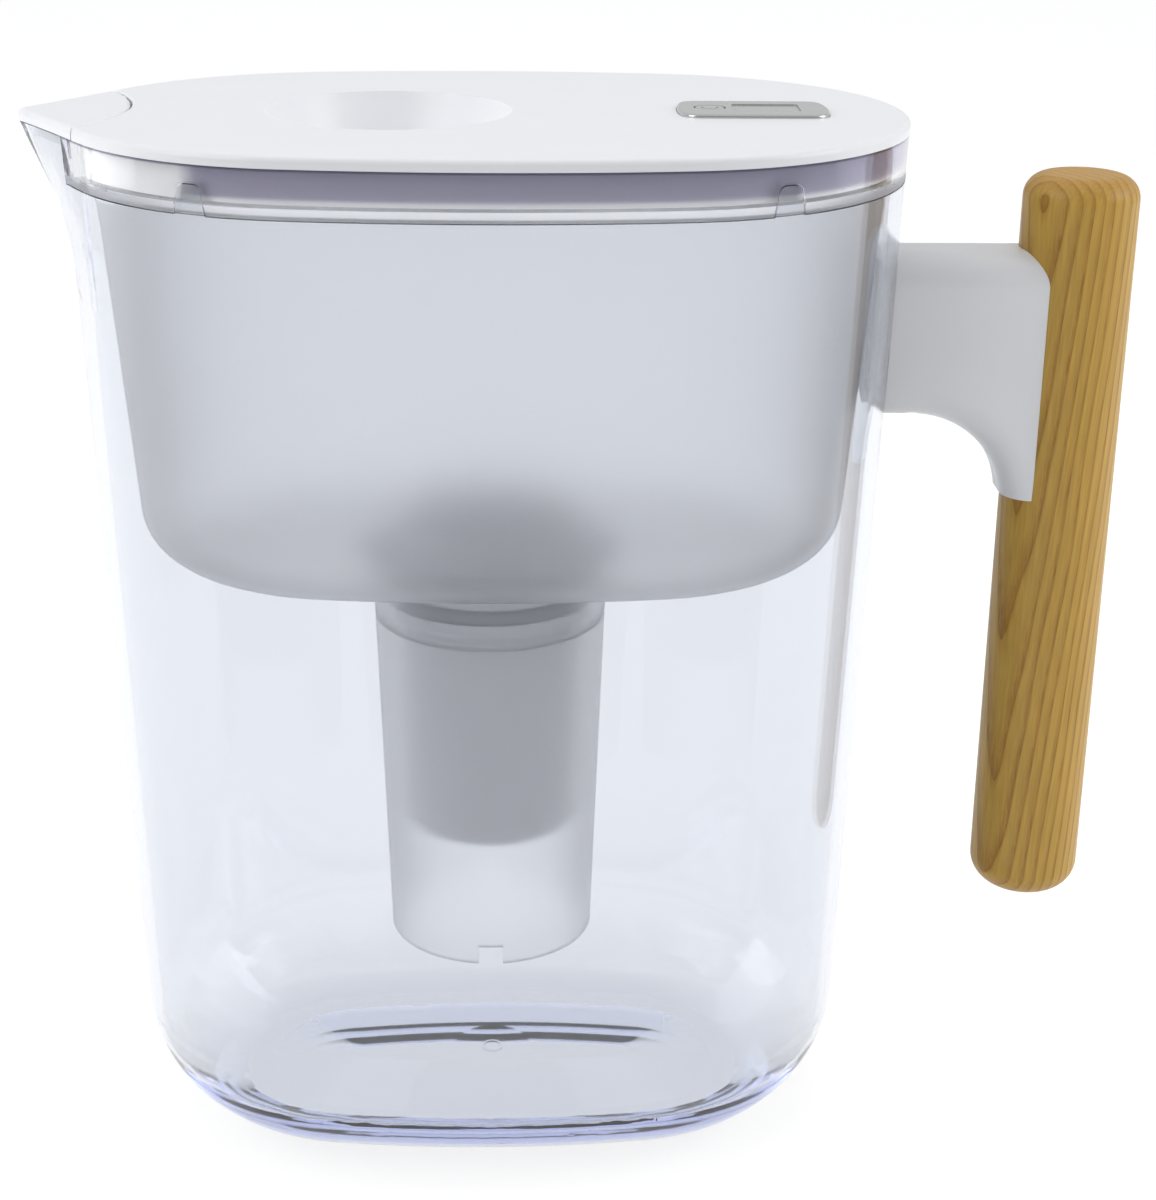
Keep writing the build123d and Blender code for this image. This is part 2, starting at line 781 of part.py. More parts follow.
# Lid: plate, skirt, refill dish, well under the flap, counter opening, bosses and door lugs
with BuildPart() as lid:
    add(lid_blank.part)
    with Locations((flap_rear - flap_rear_radius, 0, lid_underside)):
        Cylinder(flap_rear_radius + flap_gap, lid_thickness, align=on_foot, mode=Mode.SUBTRACT)
    with Locations((flap_rear - flap_rear_radius, 0, lid_top)):
        Cone(
            flap_rear_radius + flap_gap,
            flap_rear_radius + flap_gap + flap_seat_bevel,
            flap_seat_bevel,
            align=from_top,
            mode=Mode.SUBTRACT,
        )
    with BuildSketch(Plane.XY.offset(lid_underside)):
        add(rim_oval(jug_wall + skirt_gap))
        add(rim_oval(jug_wall + skirt_gap + skirt_wall), mode=Mode.SUBTRACT)
        with Locations((skirt_end_setback - spout_wall_back, 0)):
            Rectangle(
                rim_half_length,
                2 * (spout_wall_half_width + seam_gap + band_end_web + skirt_gap),
                align=(Align.MAX, Align.CENTER),
                mode=Mode.SUBTRACT,
            )
    extrude(amount=-skirt_depth)
    with BuildSketch(Plane.XY.offset(lid_underside - well_depth)):
        add(hopper_oval(band_bottom, hopper_wall + skirt_gap))
        with Locations((flap_rear - flap_rear_radius, 0)):
            Circle(flap_rear_radius + flap_gap + well_wall, mode=Mode.INTERSECT)
    extrude(amount=well_wall)
    with BuildSketch(Plane.XY.offset(lid_underside - well_depth)):
        add(hopper_oval(band_bottom, hopper_wall + skirt_gap))
        with Locations((flap_rear - flap_rear_radius, 0)):
            Circle(flap_rear_radius + flap_gap + well_wall, mode=Mode.INTERSECT)
            Circle(flap_rear_radius + flap_gap, mode=Mode.SUBTRACT)
    extrude(amount=well_depth)
    with BuildSketch(Plane.XY.offset(lid_underside - well_depth)):
        add(hopper_oval(band_bottom, hopper_wall + skirt_gap))
        add(hopper_oval(band_bottom, hopper_wall + skirt_gap + well_wall), mode=Mode.SUBTRACT)
        with Locations((flap_rear - flap_rear_radius, 0)):
            Circle(flap_rear_radius + flap_gap + well_wall / 2, mode=Mode.INTERSECT)
    extrude(amount=well_depth - well_lip)
    with Locations((flap_pivot_x, 0, flap_pivot_level)):
        Cylinder(
            flap_pin_radius + pin_gap,
            2 * (flap_half_span + flap_pin_length + seam_gap),
            rotation=(90, 0, 0),
            mode=Mode.SUBTRACT,
        )
    for side in (-1, 1):
        with BuildSketch(Plane.XZ.offset(side * door_lug_start)):
            with Locations((door_pin_x, door_pin_level)):
                Circle(door_knuckle_radius)
                Rectangle(
                    2 * door_knuckle_radius,
                    lid_underside - door_pin_level,
                    align=(Align.CENTER, Align.MIN),
                )
        extrude(amount=side * door_lug_width)
    add(dish_outside.part, mode=Mode.SUBTRACT)
    add(dish.part)
    with Locations((door_pin_x, 0, door_pin_level)):
        Cylinder(
            door_pin_radius + pin_gap,
            2 * (door_lug_start + door_lug_width),
            rotation=(90, 0, 0),
            mode=Mode.SUBTRACT,
        )
    with BuildSketch(Plane.XY.offset(bezel_underside)):
        add(counter_plate(-fit_gap))
    extrude(amount=bezel_thickness, mode=Mode.SUBTRACT)
    with BuildSketch(Plane.XY.offset(lid_underside)):
        add(counter_plate(counter_border))
    extrude(amount=lid_thickness, mode=Mode.SUBTRACT)
    with Locations(*[(x, y, tray_floor) for x, y in tray_screw_places]):
        Cylinder(screw_boss_radius, lid_underside - tray_floor, align=on_foot)
        Cylinder(tray_screw_radius + pin_gap, tray_screw_length, align=on_foot, mode=Mode.SUBTRACT)

finish(lid, "lid")

rib_inset = jug_wall + flap_rib_gap

# The disc whose rounded edge bounds the pouring flap at its rear
with BuildPart() as flap_disc:
    with Locations((flap_rear - flap_rear_radius, 0, lid_underside)):
        Cylinder(flap_rear_radius, lid_thickness, align=on_foot)
    fillet(flap_disc.edges().group_by(Axis.Z)[-1], flap_edge_round)

# Pouring flap: the lid's pointed end, with two hinge pins and a rib into the spout
with BuildPart() as spout_flap:
    add(lid_blank.part)
    add(flap_disc.part, mode=Mode.INTERSECT)
    with Locations((flap_pivot_x, 0, flap_pivot_level)):
        Cylinder(flap_pin_radius, 2 * (flap_half_span + flap_pin_length), rotation=(90, 0, 0))
    with BuildSketch(Plane.XY.offset(lid_underside)):
        add(spout_section(lid_underside - flap_rib_depth, rib_inset))
        add(spout_section(lid_underside - flap_rib_depth, rib_inset + flap_rib_width), mode=Mode.SUBTRACT)
        with Locations((-flap_rib_reach, 0)):
            Rectangle(
                rim_half_length,
                2 * (spout_wall_half_width - jug_wall),
                align=(Align.MAX, Align.CENTER),
                mode=Mode.INTERSECT,
            )
    extrude(amount=-flap_rib_depth)

finish(spout_flap, "spout_flap")

# Refill door: a disc below the dish with two arms that end in knuckles round the pin
with BuildPart() as refill_door:
    with BuildSketch(Plane.XY.offset(door_top)):
        with Locations((dish_centre, 0)):
            Circle(refill_radius + door_overlap)
        with Locations((door_pin_x, 0)):
            Rectangle(
                door_pin_reach,
                2 * (door_knuckle_start + door_knuckle_width),
                align=(Align.MAX, Align.CENTER),
            )
            Rectangle(
                2 * door_knuckle_radius,
                2 * door_knuckle_start,
                mode=Mode.SUBTRACT,
            )
    extrude(amount=-door_thickness)
    for side in (-1, 1):
        with BuildSketch(Plane.XZ.offset(side * door_knuckle_start)):
            with Locations((door_pin_x, door_pin_level)):
                Circle(door_knuckle_radius)
        extrude(amount=side * door_knuckle_width)
    with Locations((door_pin_x, 0, door_pin_level)):
        Cylinder(
            door_pin_radius + pin_gap,
            3 * door_knuckle_start + 3 * door_knuckle_width,
            rotation=(90, 0, 0),
            mode=Mode.SUBTRACT,
        )

finish(refill_door, "refill_door")

with BuildPart() as door_pin:
    with Locations((door_pin_x, 0, door_pin_level)):
        Cylinder(door_pin_radius, 2 * (door_lug_start + door_lug_width), rotation=(90, 0, 0))
    fillet(door_pin.edges().filter_by(GeomType.CIRCLE), door_pin_radius / 4)

finish(door_pin, "door_pin")

# Door spring: a close-wound coil round the pin, drawn as a sleeve, with one long leg
# that bears on the door from below and one short leg
with BuildPart() as door_spring:
    with Locations((door_pin_x, 0, door_pin_level)):
        Cylinder(door_spring_radius + door_spring_wire / 2, door_spring_length, rotation=(90, 0, 0))
        Cylinder(
            door_spring_radius - door_spring_wire / 2,
            door_spring_length,
            rotation=(90, 0, 0),
            mode=Mode.SUBTRACT,
        )
    leg_offset = (door_spring_length - door_spring_wire) / 2
    leg_root_x = door_pin_x - door_spring_radius * sin(radians(door_leg_rise))
    leg_root_level = door_pin_level - door_spring_radius * cos(radians(door_leg_rise))
    with Locations((door_pin_x + door_spring_radius, leg_offset, door_pin_level)):
        Cylinder(door_leg_radius, door_stub_length, align=on_foot)
    with Locations((leg_root_x, -leg_offset, leg_root_level)):
        Cylinder(
            door_leg_radius,
            door_leg_length,
            rotation=(0, door_leg_rise - 90, 0),
            align=on_foot,
        )

finish(door_spring, "door_spring")

# Use counter: plate, window, display and button, then the works in the tray below the lid
with BuildPart() as counter_bezel:
    with BuildSketch(Plane.XY.offset(bezel_underside)):
        add(counter_plate(0))
    extrude(amount=bezel_thickness)
    fillet(counter_bezel.edges().group_by(Axis.Z)[-1], counter_proud * 0.8)
    with BuildSketch(Plane.XY.offset(bezel_underside)):
        with Locations((window_x, 0)):
            RectangleRounded(window_length, window_width, window_corner)
        with Locations((button_x, 0)):
            Circle(button_radius + seam_gap)
    extrude(amount=bezel_thickness, mode=Mode.SUBTRACT)

finish(counter_bezel, "counter_bezel")

with BuildPart() as counter_window:
    with BuildSketch(Plane.XY.offset(bezel_underside)):
        with Locations((window_x, 0)):
            RectangleRounded(
                window_length - 2 * pin_gap, window_width - 2 * pin_gap, window_corner - pin_gap
            )
    extrude(amount=bezel_thickness - seam_gap)
    with BuildSketch(Plane.XY.offset(bezel_underside)):
        with Locations((window_x, 0)):
            Rectangle(window_length + 2 * window_flange, window_width + 2 * window_flange)
    extrude(amount=-window_flange_thickness)

finish(counter_window, "counter_window")

with BuildPart() as lcd_panel:
    with Locations((window_x, 0, window_underside)):
        Box(
            window_length + 2 * window_flange,
            window_width + 2 * window_flange,
            display_thickness,
            align=from_top,
        )

finish(lcd_panel, "lcd_panel")

with BuildPart() as lcd_connectors:
    for side in (-1, 1):
        with Locations((window_x, side * window_width / 2, board_top)):
            Box(window_length, strip_width, display_underside - board_top, align=on_foot)

finish(lcd_connectors, "lcd_connectors")

with BuildPart() as counter_button:
    with Locations((button_x, 0, bezel_underside - button_flange_thickness)):
        Cylinder(button_radius + button_flange, button_flange_thickness, align=on_foot)
    with Locations((button_x, 0, bezel_underside)):
        Cylinder(button_radius, bezel_thickness, align=on_foot)
    fillet(counter_button.edges().group_by(Axis.Z)[-1], seam_gap)
    with Locations((button_x, 0, board_top + dome_thickness + button_travel + pin_gap)):
        Cylinder(
            button_stem_radius,
            bezel_underside - board_top - dome_thickness - button_travel - pin_gap,
            align=on_foot,
        )

finish(counter_button, "counter_button")

with BuildPart() as snap_dome:
    with Locations((button_x, 0, board_top)):
        Cone(dome_radius, dome_radius / 2, dome_thickness, align=on_foot)

finish(snap_dome, "snap_dome")

with BuildPart() as counter_gasket:
    with BuildSketch(Plane.XY.offset(tray_top)):
        with Locations((counter_centre, 0)):
            RectangleRounded(tray_length, tray_width, tray_corner)
            RectangleRounded(
                tray_length - 2 * gasket_width,
                tray_width - 2 * gasket_width,
                tray_corner - gasket_width,
                mode=Mode.SUBTRACT,
            )
    extrude(amount=gasket_thickness)

finish(counter_gasket, "counter_gasket")

board_posts = [
    (button_x, -board_post_spread),
    (button_x, board_post_spread),
    (counter_centre + tray_length / 2 - tray_wall - 1.5 * board_post_radius, 0),
]

with BuildPart() as counter_tray:
    with BuildSketch(Plane.XY.offset(tray_foot)):
        with Locations((counter_centre, 0)):
            RectangleRounded(tray_length, tray_width, tray_corner)
    extrude(amount=tray_height)
    fillet(counter_tray.edges().group_by(Axis.Z)[0], tray_wall)
    with BuildSketch(Plane.XY.offset(tray_floor)):
        with Locations((counter_centre, 0)):
            RectangleRounded(
                tray_length - 2 * tray_wall, tray_width - 2 * tray_wall, tray_corner - tray_wall
            )
    extrude(amount=tray_height - tray_wall, mode=Mode.SUBTRACT)
    with BuildSketch(Plane.XY.offset(tray_floor)):
        with Locations((cell_x, 0)):
            Circle(cell_radius + fit_gap + 1)
            Circle(cell_radius + fit_gap, mode=Mode.SUBTRACT)
    extrude(amount=cell_thickness * 0.8)
    with Locations(*[(x, y, tray_floor) for x, y in board_posts]):
        Cylinder(board_post_radius, board_underside - tray_floor, align=on_foot)
    with Locations(*[(x, y, tray_foot) for x, y in tray_screw_places]):
        Cylinder(tray_screw_radius + pin_gap, tray_wall, align=on_foot, mode=Mode.SUBTRACT)

finish(counter_tray, "counter_tray")

with BuildPart() as coin_cell:
    with Locations((cell_x, 0, tray_floor)):
        Cylinder(cell_radius, cell_thickness * 0.8, align=on_foot)
        Cylinder(cell_radius * 0.88, cell_thickness, align=on_foot)

finish(coin_cell, "coin_cell")

with BuildPart() as cell_contact:
    with Locations((cell_x, 0, cell_top)):
        Box(1.6 * cell_radius, cell_contact_width, cell_contact_thickness, align=on_foot)

finish(cell_contact, "cell_contact")

with BuildPart() as circuit_board:
    with BuildSketch(Plane.XY.offset(board_underside)):
        with Locations((counter_centre, 0)):
            Rectangle(
                tray_length - 2 * tray_wall - 2 * board_margin,
                tray_width - 2 * tray_wall - 2 * board_margin,
            )
        with Locations(*tray_screw_places):
            Rectangle(
                2 * (screw_boss_radius + board_margin),
                2 * (screw_boss_radius + board_margin),
                mode=Mode.SUBTRACT,
            )
    extrude(amount=board_thickness)

finish(circuit_board, "circuit_board")

with BuildPart() as counter_screws:
    with Locations(*[(x, y, tray_foot) for x, y in tray_screw_places]):
        Cylinder(tray_screw_head_radius, tray_screw_head_height, align=from_top)
        Cylinder(tray_screw_radius, tray_screw_length, align=on_foot)

finish(counter_screws, "counter_screws")

# Handle: a hollow arm that slides down over the jug's rail, and a turned wooden grip
bow_x = arm_end - arm_lip - arm_bow
bow_level = arm_underside - arm_bow
pocket_bow = arm_bow + arm_wall
pocket_back = rail_head_back - fit_gap
tip_angle = degrees(atan2(arm_tip - bow_level, sqrt(arm_bow**2 - (arm_tip - bow_level) ** 2)))
pocket_angle = degrees(
    atan2(sqrt(pocket_bow**2 - (saddle_face - bow_x) ** 2), saddle_face - bow_x)
)

with BuildPart() as arm_pocket:
    with BuildSketch(Plane.XZ):
        with BuildLine():
            bow = CenterArc((bow_x, bow_level), pocket_bow, pocket_angle, 90 - pocket_angle)
            Polyline(
                bow @ 1,
                (pocket_back, arm_underside + arm_wall),
                (pocket_back, arm_top - arm_wall),
                (saddle_face, arm_top - arm_wall),
                bow @ 0,
            )
        make_face()
    extrude(amount=arm_half_width - arm_wall, both=True)
    long_edges = arm_pocket.edges().filter_by(Axis.X) + arm_pocket.edges().filter_by(GeomType.CIRCLE)
    fillet(long_edges, arm_pocket_round)

with BuildPart() as handle_arm:
    with BuildSketch(Plane.XZ):
        with BuildLine():
            bow = CenterArc((bow_x, bow_level), arm_bow, tip_angle, 90 - tip_angle)
            Polyline(
                bow @ 1,
                (rail_root, arm_underside),
                (rail_root, arm_top),
                (grip_axis, arm_top),
                (grip_axis, arm_tip),
                bow @ 0,
            )
        make_face()
    extrude(amount=arm_half_width, both=True)
    straight = handle_arm.edges().filter_by(Axis.X).filter_by_position(Axis.Z, arm_underside, arm_top)
    fillet(straight + handle_arm.edges().filter_by(GeomType.CIRCLE), arm_round)
    with Locations((grip_axis, 0, arm_tip)):
        Cylinder(grip_radius + pin_gap, arm_top - arm_tip, align=on_foot, mode=Mode.SUBTRACT)
    with BuildSketch(Plane.XY.offset(arm_tip)):
        add(rim_oval(jug_inset(arm_tip) - pin_gap))
    extrude(amount=arm_top - arm_tip, taper=-wall_draft, mode=Mode.SUBTRACT)
    add(arm_pocket.part, mode=Mode.SUBTRACT)
    with BuildSketch(Plane.XY.offset(arm_tip)):
        with Locations((rail_root, 0)):
            Rectangle(
                rail_face + fit_gap - rail_root,
                rail_neck_width + 2 * fit_gap,
                align=(Align.MIN, Align.CENTER),
            )
        with Locations((pocket_back, 0)):
            Rectangle(
                rail_face + fit_gap - pocket_back,
                rail_head_width + 2 * fit_gap,
                align=(Align.MIN, Align.CENTER),
            )
    extrude(amount=arm_top - arm_wall - arm_tip, mode=Mode.SUBTRACT)
    for side in (-1, 1):
        with Locations((saddle_face, 0, grip_screw_height + side * grip_screw_spacing / 2)):
            Cylinder(
                grip_screw_radius + pin_gap,
                3 * saddle_wall,
                rotation=(0, 90, 0),
                mode=Mode.SUBTRACT,
            )

finish(handle_arm, "handle_arm")

with BuildPart() as grip_screws:
    for side in (-1, 1):
        with Locations((saddle_face, 0, grip_screw_height + side * grip_screw_spacing / 2)):
            Cylinder(grip_screw_radius, grip_screw_length, rotation=(0, 90, 0), align=on_foot)
            Cylinder(
                grip_screw_head_radius,
                grip_screw_head_height,
                rotation=(0, 90, 0),
                align=from_top,
            )
    heads = grip_screws.edges().filter_by(GeomType.CIRCLE).group_by(Axis.X)[0]
    fillet(heads, grip_screw_head_height / 2)

finish(grip_screws, "grip_screws")

with BuildPart() as wood_grip:
    with Locations((grip_axis, 0, grip_foot)):
        Cylinder(grip_radius, grip_length, align=on_foot)
    rims = wood_grip.edges().filter_by(GeomType.CIRCLE).group_by(Axis.Z)
    fillet(rims[-1], grip_top_round)
    fillet(wood_grip.edges().filter_by(GeomType.CIRCLE).group_by(Axis.Z)[0], grip_foot_round)
    for side in (-1, 1):
        with Locations((saddle_face, 0, grip_screw_height + side * grip_screw_spacing / 2)):
            Cylinder(
                grip_screw_radius + pin_gap,
                grip_screw_length + grip_pilot_spare,
                rotation=(0, 90, 0),
                align=on_foot,
                mode=Mode.SUBTRACT,
            )

finish(wood_grip, "wood_grip")
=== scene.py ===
from math import cos, pi, radians, sin

import bmesh
import bpy
from bpy.props import FloatProperty, FloatVectorProperty, IntProperty, PointerProperty
from mathutils import Matrix, Vector


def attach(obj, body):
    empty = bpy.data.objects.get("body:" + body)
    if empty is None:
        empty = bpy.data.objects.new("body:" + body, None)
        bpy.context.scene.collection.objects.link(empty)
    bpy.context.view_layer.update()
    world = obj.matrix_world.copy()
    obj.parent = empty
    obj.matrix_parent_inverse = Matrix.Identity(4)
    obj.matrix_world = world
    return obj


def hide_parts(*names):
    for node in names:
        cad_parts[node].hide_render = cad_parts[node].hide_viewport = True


bl_info = {
    "name": "Water Filter Pitcher",
    "version": (1, 0, 0),
    "blender": (4, 5, 0),
    "location": "View3D > Sidebar > Pitcher",
    "description": "Dresses a clear pitcher with a frosted hopper, a white lid and a wooden grip",
    "category": "Add Mesh",
}

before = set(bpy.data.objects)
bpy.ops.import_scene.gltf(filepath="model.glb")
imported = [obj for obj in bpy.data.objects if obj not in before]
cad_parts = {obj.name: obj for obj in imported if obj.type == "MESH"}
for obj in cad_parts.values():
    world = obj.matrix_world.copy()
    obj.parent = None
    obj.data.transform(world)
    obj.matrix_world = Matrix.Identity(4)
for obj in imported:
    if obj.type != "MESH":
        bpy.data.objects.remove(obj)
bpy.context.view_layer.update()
MM = 0.001

# A Mix node's colour sockets, whose names its other sockets share
MIX_SHARE, MIX_FROM, MIX_TO, MIXED = 0, 6, 7, 2
# Heights on the hopper's clear band: the lid's skirt stands behind it above the first pair,
# where the band gets a painted shade, and its upper edge, painted dark as a shadow of the gap
# under the lid, starts at the second
PAINTED_SKIRT_SHADE = (259.9 * MM, 260.6 * MM)
GAP_SHADOW_HEIGHTS = (266.4 * MM, 266.8 * MM)
# The skirt ends before the spout, between these places along the jug, and the painted shade ends
# there too
SKIRT_END = (-67.0 * MM, -63.0 * MM)
# Where the tree's pith ran beside the dowel, and how it leaned to it
PITH_PLACE = (-100.2 * MM, 31.2 * MM, 0.0)
PITH_LEAN = (0.039, -0.058, 0.0)
# Heights over which the grip's rounded ends show end grain
GRIP_TOP = (250.5 * MM, 254.5 * MM)
GRIP_FOOT = (65.5 * MM, 61.0 * MM)
# A wave texture at this scale has one band to a metre
WAVE_UNIT = pi / 10
SILVER = "#D6D6D4"
# Roughness of the hopper's polished band. Much smoother plastic counts as a perfect mirror,
# which Is Glossy Ray leaves out
POLISHED = 0.04
# Share of white that the floor gives off where it is looked at, and strength of the room
FLOOR_GLOW = 0.8
ROOM_LIGHT = 0.62
# Corners of new pieces that are closer than this are one, and edges that turn more are sharp
WELD = 0.001 * MM
SHARP_TURN = radians(50)
# Keeps the floor's face off the foot ring's
FLOOR_DROP = 0.25 * MM
CAMERA_PLACE = (6.14 * MM, -553.43 * MM, 355.53 * MM)
CAMERA_PITCH = radians(21.01)
CAMERA_YAW = radians(1.749)
CAMERA_ROLL = radians(0.580)
# Enough for light to cross every wall of the jug and the hopper and to be turned in the base
BOUNCES = 20
# Each lamp's place, size and power in watts. A fill only lights, and isn't mirrored
LAMPS = {
    "left softbox": ((-1.0, -0.6, 0.95), (0.9, 0.9), 5.5),
    "right softbox": ((1.2, -0.25, 0.8), (0.8, 0.8), 5.0),
    "top fill": ((0.0, 0.25, 1.45), (1.2, 1.2), 4.1),
    "left fill": ((-1.1, 0.3, 0.4), (0.7, 1.0), 5.2),
    "right fill": ((1.1, 0.3, 0.4), (0.7, 1.0), 3.6),
}
LAMPS_AIM = Vector((0, 0, 0.14))


def linear(code):
    """An sRGB hex colour as linear red, green and blue."""
    parts = [int(code[place : place + 2], 16) / 255 for place in (1, 3, 5)]
    return tuple(p / 12.92 if p <= 0.04045 else ((p + 0.055) / 1.055) ** 2.4 for p in parts)


def solid(colour):
    """A colour with full opacity, as a socket takes it."""
    return (*colour[:3], 1.0)


def put(tree, kind, sockets=None, ramp=None, **settings):
    """Adds a shader node with its settings, its colour stops and its input values or links."""
    item = tree.nodes.new(kind)
    for name, value in settings.items():
        setattr(item, name, value)
    if ramp:
        stops = item.color_ramp.elements
        while len(stops) < len(ramp):
            stops.new(0.5)
        for stop, (place, colour) in zip(stops, ramp):
            stop.position = place
            stop.color = solid(colour)
    for name, value in (sockets or {}).items():
        if isinstance(value, bpy.types.NodeSocket):
            tree.links.new(value, item.inputs[name])
        else:
            item.inputs[name].default_value = value
    return item


def new_material(name):
    """An empty material with its output, and the object coordinates that patterns read."""
    material = bpy.data.materials.new(name)
    material.use_nodes = True
    tree = material.node_tree
    tree.nodes.clear()
    out = put(tree, "ShaderNodeOutputMaterial")
    place = put(tree, "ShaderNodeTexCoord").outputs["Object"]
    return material, tree, out, place


def dress(node_name, material):
    """Gives a CAD node a material in all its slots."""
    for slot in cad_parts[node_name].material_slots:
        slot.material = material


class PitcherFinish(bpy.types.PropertyGroup):
    clear_tint: FloatVectorProperty(
        name="Clear Tint",
        description="Colour that the clear plastic takes in thick places",
        subtype="COLOR",
        default=linear("#D8DEF7"),
    )
    frosted_tint: FloatVectorProperty(
        name="Frosted Tint",
        description="Colour of the frosted hopper",
        subtype="COLOR",
        default=linear("#FFFFFF"),
    )
    white: FloatVectorProperty(
        name="White",
        description="Colour of the white moulded parts",
        subtype="COLOR",
        default=linear("#F0F1F3"),
    )
    wood_light: FloatVectorProperty(
        name="Light Wood",
        description="Colour of the wood between the grain lines",
        subtype="COLOR",
        default=linear("#C9A24A"),
    )
    wood_dark: FloatVectorProperty(
        name="Dark Wood",
        description="Colour of the wood's open pores",
        subtype="COLOR",
        default=linear("#84570F"),
    )
    frost_top: FloatProperty(
        name="Frost Top",
        description="Height where the hopper's frosting ends and its clear band starts",
        default=258.1 * MM,
        unit="LENGTH",
    )
    ring_width: FloatProperty(
        name="Ring Width",
        description="Width of one year's growth in the wood",
        default=2.6 * MM,
        unit="LENGTH",
    )


class PitcherCounter(bpy.types.PropertyGroup):
    button_x: FloatProperty(
        name="Button Place",
        description="Where the button stands along the lid",
        default=53.8 * MM,
        unit="LENGTH",
    )
    mark_radius: FloatProperty(
        name="Mark Radius",
        description="Radius of the ring printed on the button",
        default=1.9 * MM,
        unit="LENGTH",
    )


class PitcherSpring(bpy.types.PropertyGroup):
    centre: FloatVectorProperty(
        name="Centre",
        description="Middle of the coil",
        subtype="TRANSLATION",
        default=(0.0, 0.0, 251.8 * MM),
    )
    wire_radius: FloatProperty(
        name="Wire Radius", description="Half the wire", default=0.22 * MM, unit="LENGTH"
    )
    coil_radius: FloatProperty(
        name="Coil Radius",
        description="From the pin's axis to the wire's middle",
        default=2.0 * MM,
        unit="LENGTH",
    )
    width: FloatProperty(
        name="Coil Width",
        description="From the first turn to the last",
        default=8.4 * MM,
        unit="LENGTH",
    )
    stub: FloatProperty(
        name="Short Leg", description="Length of the short leg", default=2.0 * MM, unit="LENGTH"
    )
    leg: FloatProperty(
        name="Long Leg",
        description="Length of the leg under the door",
        default=9.0 * MM,
        unit="LENGTH",
    )
    leg_rise: FloatProperty(
        name="Leg Rise", description="Slope of the long leg in degrees", default=16.0
    )
    turns: IntProperty(name="Turns", description="Whole turns of the coil", default=13, min=1)
    sides: IntProperty(name="Sides", description="Sides of the wire", default=10, min=3)
    steps: IntProperty(name="Steps", description="Steps in one turn", default=24, min=3)


class PitcherStage(bpy.types.PropertyGroup):
    lens: FloatProperty(
        name="Lens", description="Focal length in millimetres", default=67.77, min=1
    )
    floor_size: FloatProperty(
        name="Floor Size", description="Edge of the floor", default=6.0, unit="LENGTH"
    )


def clear_copolyester(finish):
    # Clear copolyester, injection moulded in a polished tool: nearly colourless through one
    # wall, blue where one looks along it
    material, tree, out, place = new_material("clear copolyester, polished")
    flow = put(tree, "ShaderNodeTexNoise", {"Vector": place, "Scale": 1 / (25 * MM), "Detail": 1.0})
    bump = put(
        tree,
        "ShaderNodeBump",
        {"Height": flow.outputs["Fac"], "Strength": 0.04, "Distance": 0.3 * MM},
    )
    surface = put(
        tree,
        "ShaderNodeBsdfPrincipled",
        {
            "Base Color": solid(linear("#EDEFF2")),
            "Roughness": 0.03,
            "IOR": 1.52,
            "Transmission Weight": 1.0,
            "Normal": bump.outputs["Normal"],
        },
    )
    body = put(
        tree,
        "ShaderNodeVolumeAbsorption",
        {"Color": solid(finish.clear_tint), "Density": 20.0},
    )
    tree.links.new(surface.outputs[0], out.inputs["Surface"])
    tree.links.new(body.outputs[0], out.inputs["Volume"])
    return material


